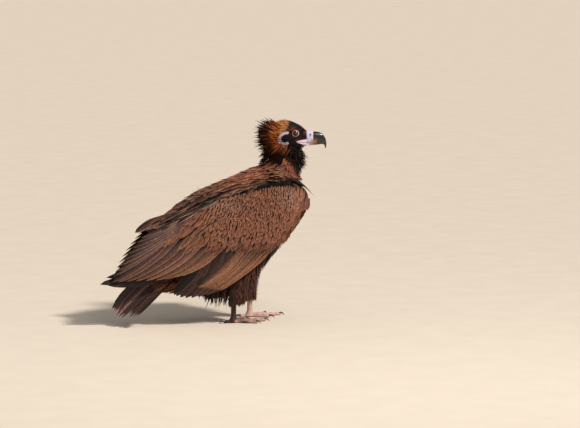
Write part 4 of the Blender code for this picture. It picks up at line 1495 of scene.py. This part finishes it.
def head_coat_pieces(skin, head):
    """Down of the crown and the short bristles of the face and throat."""
    rng = np.random.default_rng(31)
    roots, normals = head.scattered(60000, rng)
    here = to_head(roots)
    bare = head_bare(here)
    feathered = bare < 0.5 + rng.normal(0, 0.08, len(bare))
    mine = (ahead_of_stripe(here) > -0.3) & (here[:, 0] < 8.4) & feathered
    mine &= (eye_distance(here) > 1.05) | (np.abs(here[:, 1]) < 1.5)
    roots, normals, here = roots[mine], normals[mine], here[mine]
    kept = thinned(roots, 0.19 + 0.09 * crown_share(here) + 0.07 * smooth(-1.8, -3.6, here[:, 2]))
    roots, here = roots[kept], here[kept]
    crown, throat = crown_share(here), smooth(-1.8, -3.6, here[:, 2])
    brow = near(here, (6.0, 3.6), (7.4, 2.6), 0.4, 1.0) * (1 - crown)
    count, rows = len(roots), 5
    lengths = (0.45 + 1.05 * crown + 0.95 * throat + 0.2 * brow) * rng.uniform(0.6, 1.35, count)
    back = np.array((-1.0, 0.0, 0.10)) @ HEAD_AXES
    down = np.array((-0.35, 0.0, -1.0)) @ HEAD_AXES
    rough = rng.normal(0, 0.26, (count, 3))

    def heading(places):
        return back * (1 - throat[:, None]) + down * throat[:, None] + rough

    lines, ups = follow(head, roots, heading, lengths, rows - 1, 0.4)
    lift = 0.12 + 0.42 * crown * rng.uniform(0.3, 1.4, count) + 0.40 * throat + 0.25 * brow
    lines = raised(lines, ups, 0.06, lift)
    tones = rows_of_tone(head_coat(here), rows, rng, 0.42, 1.25, 0.30)
    brown = (1 - crown)[:, None] * np.linspace(0, 1, rows)[None] ** 2 * rng.uniform(0.0, 0.9, (count, 1))
    tones = mix(tones, mix(MASK_TIP, THROAT_TIP, throat[:, None]), brown)
    grown("feathers_head", "plumage", "down", skin, lines, ups, 0.05 + 0.085 * crown + 0.03 * throat, tones,
          np.zeros(count), columns=3, camber=0.4, thickness=0.03, widest=0.35, blunt=1.1, quill=0.6, seed=32)


def beard(skin, head, guide, regions):
    """Longer spikes of the throat, that hang forward and down under the bill."""
    rng = np.random.default_rng(33)
    on_head, on_neck = head.scattered(40000, rng), guide.scattered(90000, rng)
    neck = regions.of(on_neck[0]) == region("neck")[0]
    roots = np.concatenate((on_head[0], on_neck[0][neck]))
    normals = np.concatenate((on_head[1], on_neck[1][neck]))
    here = to_head(roots)
    low = (here[:, 2] < -3.6) & (here[:, 2] > -9.8) & (ahead_of_stripe(here) > 1.2) & (here[:, 0] < 6.8)
    roots, normals, here = roots[low], normals[low], here[low]
    kept = thinned(roots, np.full(len(roots), 0.50))
    roots, normals, here = roots[kept], normals[kept], here[kept]
    count, rows = len(roots), 6
    way = np.array((0.45, 0.0, -0.9)) @ HEAD_AXES + 0.90 * normals + rng.normal(0, 0.16, (count, 3))
    lengths = rng.uniform(1.2, 3.0, count) * (1 - 0.3 * smooth(-4.6, -3.6, here[:, 2]))
    lengths *= 1 - 0.45 * smooth(-7.0, -10.0, here[:, 2])
    shares = np.linspace(0, 1, rows)[None, :, None]
    lines = (roots - normals * 0.1)[:, None] + unit(way)[:, None] * (lengths[:, None, None] * shares)
    lines = lines + np.array((0, 0, -0.35)) * shares**2
    brown = shares[..., 0] ** 2.5 * rng.uniform(0, 1, (count, 1))
    tones = mix(np.broadcast_to(THROAT, (count, rows, 3)), THROAT_TIP, brown)
    ups = np.broadcast_to(normals[:, None], lines.shape)
    grown("feathers_beard", "plumage", "down", skin, lines, ups, rng.uniform(0.10, 0.18, count), tones,
          np.zeros(count), **SPIKE, widest=0.35, blunt=1.1, roll=rng.normal(0, 0.5, count), seed=34)


# ---------------------------------------------------------------- wings


class WingSide:
    """One folded wing's outer surface, as its distance from the middle over places (x, z)."""

    STEP = 0.5
    LOW = np.array((-58.0, 5.0))
    SIZE = (162, 102)

    def __init__(self, side):
        self.side = side
        names = [f"{part}_{WORD[side]}" for part in ("wing_arm", "secondaries", "tertials", "primaries")]
        points, faces = nodes_joined(names)
        tree = tree_of(points, faces)
        reach = np.full(self.SIZE, np.nan)
        for i in range(self.SIZE[0]):
            for k in range(self.SIZE[1]):
                x, z = self.LOW + self.STEP * np.array((i, k))
                hit = tree.ray_cast((x, side * 40.0, z), (0, -side, 0))[0]
                if hit is not None:
                    reach[i, k] = side * hit.y
        self.known = ~np.isnan(reach)
        reach = np.where(self.known, reach, 8.0)
        for _ in range(500):
            reach = np.where(self.known, reach, self.blurred(reach))
        for _ in range(5):
            reach = self.blurred(reach)
        self.reach = reach
        slope_x, slope_z = np.gradient(reach, self.STEP)
        self.slopes = np.stack((slope_x, slope_z), axis=-1)

    @staticmethod
    def blurred(grid):
        wide = np.pad(grid, 1, mode="edge")
        return (wide[:-2, 1:-1] + wide[2:, 1:-1] + wide[1:-1, :-2] + wide[1:-1, 2:] + 4 * grid) / 8

    def sampled(self, grid, flat):
        where = np.clip((flat - self.LOW) / self.STEP, 0, np.array(self.SIZE) - 1.001)
        cell = where.astype(int)
        part = where - cell
        i, k = cell[..., 0], cell[..., 1]
        a, b = part[..., 0], part[..., 1]
        if grid.ndim > 2:
            a, b = a[..., None], b[..., None]
        return (
            grid[i, k] * (1 - a) * (1 - b)
            + grid[i + 1, k] * a * (1 - b)
            + grid[i, k + 1] * (1 - a) * b
            + grid[i + 1, k + 1] * a * b
        )

    def covers(self, places):
        """Whether the folded wing hides these places of the body."""
        flat = places[:, (0, 2)]
        inside = self.sampled(self.known.astype(float), flat) > 0.99
        depth = self.sampled(self.reach, flat) - self.side * places[:, 1]
        return inside & (depth > 1.0) & (self.side * places[:, 1] > 1.0)

    def laid(self, flat, offsets):
        """Lines over the wing at places (x, z) and at offsets off its surface, with their normals."""
        reach = self.sampled(self.reach, flat)
        slopes = self.sampled(self.slopes, flat)
        normals = np.stack((-slopes[..., 0], np.ones_like(reach), -slopes[..., 1]), axis=-1)
        normals = unit(normals)
        places = np.stack((flat[..., 0], reach, flat[..., 1]), axis=-1) + normals * offsets[..., None]
        turn = np.array((1.0, self.side, 1.0))
        return places * turn, normals * turn


def fan_lines(guides, count, rows, sag):
    """Feather lines of a fan over (x, z): between its guide feathers, each bowed down a little."""
    flat = np.array([root + tip for root, tip in guides], float)
    shares = np.linspace(0, 1, rows)[:, None]
    lines = []
    for k in range(count):
        row = smooth_through(flat, k / max(count - 1, 1))
        root, tip = row[:2], row[2:]
        way = unit(tip - root)
        across = np.array((-way[1], way[0]))
        bow = across * sag * np.linalg.norm(tip - root) * (4 * shares * (1 - shares))
        lines.append(root + (tip - root) * shares + bow)
    return np.array(lines)


# Fans of the folded wing: guide feathers (root and tip, x and z), count, half width at both ends of the fan,
# offset of the roots and tips, colour of both ends, rim, how pointed.
FANS = {
    "inner_flight": (
        (((-6, 26), (-16.0, 11.2)), ((-11, 26.5), (-21.5, 9.9)), ((-16, 26.5), (-26.0, 9.9)),
         ((-19, 26), (-28.8, 11.0))),
        8, (1.7, 2.0), (-0.5, -0.35), (DARK_VANE, PRIMARY), 0.12, 2.4,
    ),
    "primaries": (
        (((-30, 17.6), (-50.2, 14.8)), ((-30, 20), (-52.6, 15.2)), ((-30, 22.6), (-50.4, 17.0)),
         ((-31, 25), (-47.6, 19.6))),
        4, (1.8, 1.8), (-0.9, -0.6), (PRIMARY, PRIMARY), 0.0, 1.8,
    ),
    "greater_rear": (
        (((-13.7, 26.5), (-27.6, 17.6)), ((-16.5, 28.0), (-34.0, 16.2)), ((-20.5, 31.5), (-42.4, 15.9)),
         ((-25.0, 35.5), (-49.0, 15.4))),
        9, (1.20, 1.60), (-0.25, 0.0), (STRIPE_VANE, TERTIAL), 0.45, 1.9,
    ),
    "greater_front": (
        (((5.0, 26.5), (-13.6, 12.2)), ((-1.5, 26.5), (-17.3, 12.5)), ((-7.0, 27), (-21.3, 13.4))),
        10, (0.85, 1.15), (-0.3, 0.15), (STRIPE_VANE, STRIPE_VANE), 0.55, 1.7,
    ),
    "tertial_shadow": (
        (((-24.0, 36.5), (-46.8, 18.2)), ((-22.5, 38.2), (-43.6, 24.2)), ((-21.0, 39.8), (-38.0, 30.0))),
        7, (1.40, 1.20), (-0.5, -0.25), (PRIMARY, PRIMARY), 0.0, 1.8,
    ),
    "tertials": (
        (((-24.0, 36.5), (-48.4, 17.6)), ((-23.5, 37.2), (-47.2, 20.4)), ((-22.5, 38.2), (-45.0, 23.8)),
         ((-21.5, 39.2), (-42.2, 27.2)), ((-21.0, 39.8), (-39.2, 30.2))),
        8, (1.05, 0.90), (-0.15, 0.30), (TERTIAL, DARK_VANE), 0.40, 1.8,
    ),
}
STANDS_FOR = {"inner_flight": "secondaries", "tertials": "tertials", "primaries": "primaries"}
FAR_WING_REACH = 0.94  # the left wing's long feathers reach less far back, behind the right's
FAR_COVERT_REACH = 0.975  # the same for its coverts


def drawn_in(flat, side, reach):
    """Places over a wing, with the left wing's rear part drawn forward."""
    if side == LEFT:
        flat[..., 0] = np.where(flat[..., 0] < 0, flat[..., 0] * reach, flat[..., 0])
    return flat


def wing_fans(wing, skin):
    """The wing's long feathers, each fan's upper feathers over its lower ones."""
    rng = np.random.default_rng(41)
    rows = 14
    shares = np.linspace(0, 1, rows)
    for label, (guides, count, halves, offsets, ends, rim, blunt) in FANS.items():
        flat = drawn_in(fan_lines(guides, count, rows, 0.025), wing.side, FAR_WING_REACH)
        fan = np.linspace(0, 1, count)
        height = offsets[0] + (offsets[1] - offsets[0]) * shares[None] + 0.02 * fan[:, None]
        lines, ups = wing.laid(flat, height)
        half = halves[0] + (halves[1] - halves[0]) * fan
        tone = mix(np.broadcast_to(ends[0], (count, 3)), ends[1], fan)
        tones = rows_of_tone(tone, rows, rng, 0.85, 1.0, 0.26)
        name = f"{label}_{WORD[wing.side]}"
        thing = grown("flight_" + name, "flight_feathers", "flight", skin, lines, ups, half, tones,
                      np.full(count, rim) * rng.uniform(0.5, 1.3, count), columns=9, camber=0.10, widest=0.45,
                      blunt=blunt, quill=0.45, fray=0.05, roll=np.full(count, wing.side * 0.16),
                      mirrored=np.full(count, wing.side == LEFT), seed=42)
        if label in STANDS_FOR:
            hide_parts(f"{STANDS_FOR[label]}_{WORD[wing.side]}")


REAR_COVERT = -28.5  # no covert grows further back than this


def covert_zones(flat):
    """How near places on the wing are to the band, to the rear and to the front edge, from 0 to 1."""
    x, z = flat.T
    return smooth(9, 3, z - edge_height(BAND_EDGE, x)), smooth(-12, -24, x), smooth(9, 15, x)


def covert_places(wing, rng):
    """Where the coverts grow, (x, z): small and close on the arm, larger towards the band and the rear."""
    flat = rng.uniform((-36, 22), (19.5, 50), (60000, 2))
    x, z = flat.T
    inside = (x > REAR_COVERT) & (z < edge_height(WING_TOP, x) - gap_width(x))
    inside &= (z > edge_height(BAND_EDGE, x) + 2.2) & (wing.sampled(wing.known.astype(float), flat) > 0.75)
    flat = drawn_in(flat[inside], wing.side, FAR_COVERT_REACH)
    band, rear, front_edge = covert_zones(flat)
    spacing = 0.50 + 0.60 * band + 0.75 * rear + 0.15 * front_edge
    return flat[thinned(np.c_[flat, flat[:, 0] * 0], spacing)]


def covert_angle(flat):
    """How steeply the coverts slope down towards the back, in radians."""
    x, z = flat[..., 0], flat[..., 1]
    steep = 42 + 20 * smooth(-24, -2, x) + 8 * smooth(30, 44, z) * smooth(-8, 6, x) - 10 * smooth(8, 15, x)
    return np.radians(steep)


def covert_tone(flat, rng):
    """Colour of the coverts at places (x, z): darker towards the band, with a painted grey sheen at the
    shoulder and on the upper wing.
    """
    x, z = flat.T
    deep = np.c_[flat, x * 0]
    low = z - edge_height(BAND_EDGE, x)
    tone = mix(np.broadcast_to(COVERT_MID, (len(x), 3)), COVERT_TOP, smooth(34, 46, z))
    tone = mix(tone, BAND, smooth(6.5, 2.0, low) * 0.85)
    # painted sheen: pale grey patches where the light catches the shoulder and the upper wing
    shoulder = np.exp(-(((x - 11) / 3.5) ** 2) - ((z - 44.5) / 3) ** 2)
    upper = np.exp(-(((x + 10.7) / 5) ** 2) - ((z - 41.5) / 2.5) ** 2)
    tone = mix(tone, COVERT_SHEEN, np.maximum(shoulder, upper) * 0.45)
    tone = mix(tone, DARK_VANE, smooth(0.3, 1.2, wobble(deep, 5.0, 77)) * smooth(34, 28, z) * 0.6)
    rear = smooth(-12, -22, x)
    tone = mix(tone, STRIPE_VANE, rear * 0.8)
    tone = mix(tone, RUFOUS, rear * smooth(0.3, 1.0, wobble(deep, 3.0, 79)) * 0.4)
    return tone * rng.uniform(0.78, 1.22, (len(x), 1))


def wing_coverts(wing, skin):
    """Rows of small feathers from the wing's upper edge down to the paler band above the long feathers."""
    rng = np.random.default_rng(51)
    flat = covert_places(wing, rng)
    band, rear, front_edge = covert_zones(flat)
    count, rows = len(flat), 6
    lengths = (1.9 + 1.9 * band + 5.4 * rear + 1.6 * front_edge) * rng.uniform(0.8, 1.2, count)
    turn = covert_angle(flat) + rng.normal(0, 0.10, count)
    shares = np.linspace(0, 1, rows)
    way = np.stack((-np.cos(turn), -np.sin(turn)), axis=1)
    lines = flat[:, None] + way[:, None] * (lengths[:, None] * shares[None])[..., None]
    height = -0.36 * (1 - shares[None]) ** 1.4 + (0.14 + 0.16 * rng.random((count, 1))) * shares[None]
    lines, ups = wing.laid(lines, height)
    half = (0.26 + 0.50 * band + 0.28 * rear) * rng.uniform(0.8, 1.2, count)
    # Each covert is darker at its root, more in the band and at the rear: partly its down, partly painted
    # shade under the coverts that overlap it.
    base = 0.76 - 0.34 * np.maximum(band, rear)[:, None, None]
    along = base + (1.12 - base) * shares[None, :, None]
    tones = np.clip(rows_of_tone(covert_tone(flat, rng), rows, rng, 1.0, 1.0, 0.08) * along, 0, 1)
    rims = (0.14 + 0.36 * band + 0.15 * rear) * rng.uniform(0.2, 1.5, count)
    roll = np.full(count, wing.side * 0.08) + rng.normal(0, 0.12, count)
    grown("coverts_" + WORD[wing.side], "plumage", "plumage", skin, lines, ups, half, tones, rims, columns=4,
          camber=0.22, widest=0.55, blunt=1.4, fray=0.25, roll=roll, seed=52)


def gap_feathers(wing, skin):
    """Near-black feathers along the gap between the mantle and the folded wing: painted shade of the gap."""
    rng = np.random.default_rng(55)
    count, rows = 150, 8
    x = rng.uniform(-20, 17.5, count)
    z = edge_height(WING_TOP, x) + 0.3 - rng.random(count) * (gap_width(x) + 0.6)
    shares = np.linspace(0, 1, rows)
    along = x[:, None] - rng.uniform(3.0, 5.5, (count, 1)) * shares
    drop = edge_height(WING_TOP, along) - edge_height(WING_TOP, x)[:, None]
    flat = np.stack((along, z[:, None] + drop), axis=2)
    lines, ups = wing.laid(flat, -0.35 + 0.25 * shares[None] * np.ones((count, 1)))
    tones = rows_of_tone(np.broadcast_to(GAP_SHADE, (count, 3)), rows, rng, 0.6, 1.2, 0.3)
    halves = rng.uniform(0.4, 0.6, count)
    grown("feathers_gap_" + WORD[wing.side], "plumage", "down", skin, lines, ups, halves, tones,
          np.zeros(count), columns=4, camber=0.2, widest=0.5, blunt=1.4, quill=0.4, fray=0.1, seed=56)


# ---------------------------------------------------------------- tail and loose feathers

TAIL_FEATHERS = 12
TAIL = (  # root, tip and upward bow of the guide feathers, from the left edge to the right
    ((-22.5, 2.6, 21.2), (-47.4, 5.0, 6.2), 3.4),
    ((-22.2, 1.5, 21.0), (-47.2, 2.2, 4.9), 3.0),
    ((-22.0, 0.0, 20.6), (-46.2, -1.2, 3.6), 2.4),
    ((-22.2, -1.5, 19.9), (-44.8, -4.8, 3.2), 1.6),
    ((-22.6, -2.6, 19.0), (-42.4, -8.2, 4.2), 0.8),
)
TAIL_GUIDES = np.array([(*root, *tip, bow) for root, tip, bow in TAIL])


def tail_feather(k, shares, rng):
    """The middle line of one tail feather, and the upward direction along it."""
    place = (k + 0.5) / TAIL_FEATHERS
    row = smooth_through(TAIL_GUIDES, place)
    root, tip, bow = row[:3], row[3:6], row[6]
    from_middle = abs(k - (TAIL_FEATHERS - 1) / 2)
    line = root + (tip - root) * shares[:, None] * rng.uniform(0.90, 1.01)
    line[:, 2] += bow * 4 * shares * (1 - shares) + 0.35 - 0.12 * from_middle
    beside = smooth_through(TAIL_GUIDES, place + 0.02)[3:6] - smooth_through(TAIL_GUIDES, place - 0.02)[3:6]
    up = unit(np.cross(unit(tip - root), unit(beside)))
    return line, np.tile(up if up[2] > 0 else -up, (len(shares), 1))


def tail_coverts(skin, rng):
    """Reddish-brown feathers over the tail's roots, in three rows."""
    rows = 8
    shares = np.linspace(0, 1, rows)
    lines, ups = [], []
    for start in (0.06, 0.20, 0.34):
        for k in range(TAIL_FEATHERS):
            line, up = tail_feather(k + rng.uniform(-0.2, 0.2), np.linspace(start, start + 0.26, rows), rng)
            lines.append(line + up * (0.45 + 0.35 * shares[:, None]))
            ups.append(up)
    count = len(lines)
    tones = rows_of_tone(np.broadcast_to(TAIL_COVERT, (count, 3)), rows, rng, 0.7, 1.1, 0.2)
    halves = rng.uniform(0.9, 1.3, count)
    grown("feathers_tail_coverts", "plumage", "plumage", skin, np.array(lines), np.array(ups), halves, tones,
          np.full(count, 0.4), columns=7, camber=0.2, widest=0.5, blunt=1.4, quill=0.4, fray=0.3, seed=63)


def build_tail(skin):
    """Twelve worn tail feathers, the middle pair on top."""
    rng = np.random.default_rng(61)
    rows = 14
    shares = np.linspace(0, 1, rows)
    lines, ups = zip(*(tail_feather(k, shares, rng) for k in range(TAIL_FEATHERS)))
    rolls = 0.16 * np.sign((TAIL_FEATHERS - 1) / 2 - np.arange(TAIL_FEATHERS))
    tones = rows_of_tone(np.broadcast_to(TAIL_VANE, (TAIL_FEATHERS, 3)), rows, rng, 1.15, 0.60, 0.30)
    halves = rng.uniform(1.6, 2.1, TAIL_FEATHERS)
    rims = rng.uniform(0.1, 0.6, TAIL_FEATHERS)
    thing = grown("flight_tail", "flight_feathers", "flight", skin, np.array(lines), np.array(ups), halves,
                  tones, rims, columns=11, camber=0.14, widest=0.68, blunt=2.2, quill=0.40, fray=0.30,
                  roll=rolls, mirrored=rolls < 0, seed=62)
    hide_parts("tail")
    tail_coverts(skin, rng)


def build_raised_feather(skin):
    """One tawny feather of the left wing that stands up from the back."""
    rows = 12
    shares = np.linspace(0, 1, rows)[:, None]
    root, tip = np.array((-28.5, 4.2, 36.2)), np.array((-38.5, 4.4, 30.9))
    line = root + (tip - root) * shares + np.array((0, 0, 0.45)) * 4 * shares * (1 - shares)
    ups = np.tile(unit(np.array((-0.35, -0.55, 0.75))), (rows, 1))
    tones = mix(np.broadcast_to(RUFOUS, (rows, 3)), TERTIAL, smooth(0.1, 0.6, shares[:, 0]))[None]
    thing = grown("flight_raised", "flight_feathers", "flight", skin, line[None], ups[None], np.array((1.7,)),
                  tones, np.array((0.7,)), columns=9, camber=0.12, widest=0.5, quill=0.4, fray=0.05, seed=71)
    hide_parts("raised_feather_left")


def shoulder_strays():
    """Thin dark feathers that hang over each shoulder: start, end, half width, colour and bow of each."""
    for share in np.linspace(0, 1, 6):
        for side in (RIGHT, LEFT):
            start = (11.0 + 3.0 * share, side * (9.4 + 0.4 * share), 49.2 - 0.5 * share)
            end = (16.4 + 3.4 * share, side * (11.2 + 0.6 * share), 46.3 - 3.6 * share)
            yield start, end, 0.22, PRIMARY, 0.35


def other_strays(rng):
    """Wisps behind the thighs, dark feathers under the ruff's back, and a tuft on the back."""
    for _ in range(130):
        side = rng.choice((RIGHT, LEFT))
        base = np.array((rng.uniform(-15, -6), side * rng.uniform(3.0, 9.0), rng.uniform(11.0, 14.0)))
        way = (rng.uniform(-2.8, 0.6), side * rng.uniform(-0.6, 0.6), -rng.uniform(3.8, 6.6))
        yield base, base + way, 0.24, BELLY, -0.3
    for _ in range(40):
        base = np.array((rng.uniform(6.6, 9.4), rng.normal(0, 1.4), rng.uniform(54.0, 56.6)))
        way = (-rng.uniform(1.6, 3.0), rng.normal(0, 0.5), -rng.uniform(0.4, 1.6))
        yield base, base + way, 0.2, RUFF_TIP, 0.1
    for _ in range(26):
        base = np.array((-16.7 + rng.normal(0, 0.8), rng.normal(0, 0.9), 44.0))
        way = (rng.normal(-0.5, 0.8), rng.normal(0, 0.6), rng.uniform(0.9, 2.2))
        yield base, base + way, 0.05, CROWN, 0.1


def stray_feathers(skin):
    """The few feathers out of place."""
    rng = np.random.default_rng(95)
    strays = (*shoulder_strays(), *other_strays(rng))
    starts, ends, halves, tones, bows = [np.array(column) for column in zip(*strays)]
    rows, count = 7, len(starts)
    shares = np.linspace(0, 1, rows)[None, :, None]
    lines = starts[:, None] + (ends - starts)[:, None] * shares
    lines[..., 2] += bows[:, None] * (4 * shares * (1 - shares))[..., 0]
    out = np.stack((np.zeros(count), np.sign(starts[:, 1]), np.full(count, 0.4)), axis=1)
    ups = np.broadcast_to(unit(out)[:, None], lines.shape)
    tones = rows_of_tone(tones, rows, rng, 0.9, 1.0, 0.15)
    grown("feathers_stray", "plumage", "plumage", skin, lines, ups, halves, tones, np.zeros(count), columns=3,
          camber=0.4, thickness=0.04, widest=0.4, blunt=1.1, quill=0.5, fray=0.2, seed=96)


# ---------------------------------------------------------------- stage

VIEW_TURN, VIEW_TILT = math.radians(-20), math.radians(7)
VIEW_MIDDLE = (0.1445, 0.3587)  # of the picture, from the floor between the feet, right and up in metres
VIEW_WIDTH = 1.972  # how many metres the picture shows from side to side, at the bird
CAMERA_DISTANCE, SENSOR = 12.0, 36.0  # metres and millimetres
FLOOR_HALF = 80.0


def build_floor():
    mesh = bpy.data.meshes.new("ground")
    corners = [(x * FLOOR_HALF, y * FLOOR_HALF, 0) for x, y in ((-1, -1), (1, -1), (1, 1), (-1, 1))]
    mesh.from_pydata(corners, [], [(0, 1, 2, 3)])
    mesh.materials.append(floor_material())
    added("ground", mesh)


def build_camera(origin, right, up, back):
    target = origin + right * VIEW_MIDDLE[0] + up * VIEW_MIDDLE[1]
    camera = bpy.data.cameras.new("camera")
    camera.sensor_width = SENSOR
    camera.lens = SENSOR * CAMERA_DISTANCE / VIEW_WIDTH
    camera.clip_end = 300
    view = added("camera", camera)
    matrix = Matrix((right, up, back)).transposed().to_4x4()
    matrix.translation = target + back * CAMERA_DISTANCE
    view.matrix_world = matrix
    bpy.context.scene.camera = view


def build_lights(origin, right, up, back):
    """A warm key light high on the right, a soft panel above the camera, and a pale sky."""
    sun = bpy.data.lights.new("key", "SUN")
    sun.energy = 2.8
    sun.angle = math.radians(7)
    sun.color = (1.0, 0.95, 0.88)
    toward = right * 0.62 + up * 0.66 + back * 0.44
    added("key", sun).rotation_euler = toward.to_track_quat("Z", "Y").to_euler()

    panel = bpy.data.lights.new("panel", "AREA")
    panel.energy = 16
    panel.size = 1.1
    soft = added("panel", panel)
    place = right * 0.9 + up * 2.0 + back * 2.2
    soft.location = origin + place
    soft.rotation_euler = place.to_track_quat("Z", "Y").to_euler()

    world = bpy.data.worlds.new("sky")
    world.use_nodes = True
    sky = world.node_tree.nodes["Background"].inputs
    sky[0].default_value = (0.95, 0.93, 0.92, 1)
    sky[1].default_value = 0.33
    bpy.context.scene.world = world


def build_stage():
    """A pale floor, the lights and the camera, in the photograph's view."""
    build_floor()
    right = Vector((math.cos(VIEW_TURN), math.sin(VIEW_TURN), 0))
    level = math.cos(VIEW_TILT)
    back = Vector((math.sin(VIEW_TURN) * level, -math.cos(VIEW_TURN) * level, math.sin(VIEW_TILT)))
    view = (Vector(SHIFT * CM), right, back.cross(right), back)
    build_camera(*view)
    build_lights(*view)
    bpy.context.scene.view_settings.view_transform = "Standard"


# ---------------------------------------------------------------- the bird


def main():
    regions = Regions()
    smoothed = closed_up(*nodes_joined(("trunk", "neck", "wing_arm_right", "wing_arm_left")), 0.9)
    guide = Surface(*remeshed(*joined((smoothed, nodes_joined(REGIONS))), 0.5, 8))
    skin = SkinMap(build_skin(guide, regions.of(guide.points)))
    for side in (RIGHT, LEFT):
        eyeball(side)
    build_bill()
    build_claws()
    wings = [WingSide(side) for side in (RIGHT, LEFT)]
    body_coats(guide, regions, skin, wings)
    scapulars(guide, skin)
    ruff_coat(guide, regions, skin)
    head = Surface(*shaped_head())
    stripe_coat(skin, head)
    head_coat_pieces(skin, head)
    beard(skin, head, guide, regions)
    for wing in wings:
        wing_fans(wing, skin)
        wing_coverts(wing, skin)
        gap_feathers(wing, skin)
    build_tail(skin)
    build_raised_feather(skin)
    stray_feathers(skin)
    build_stage()


main()
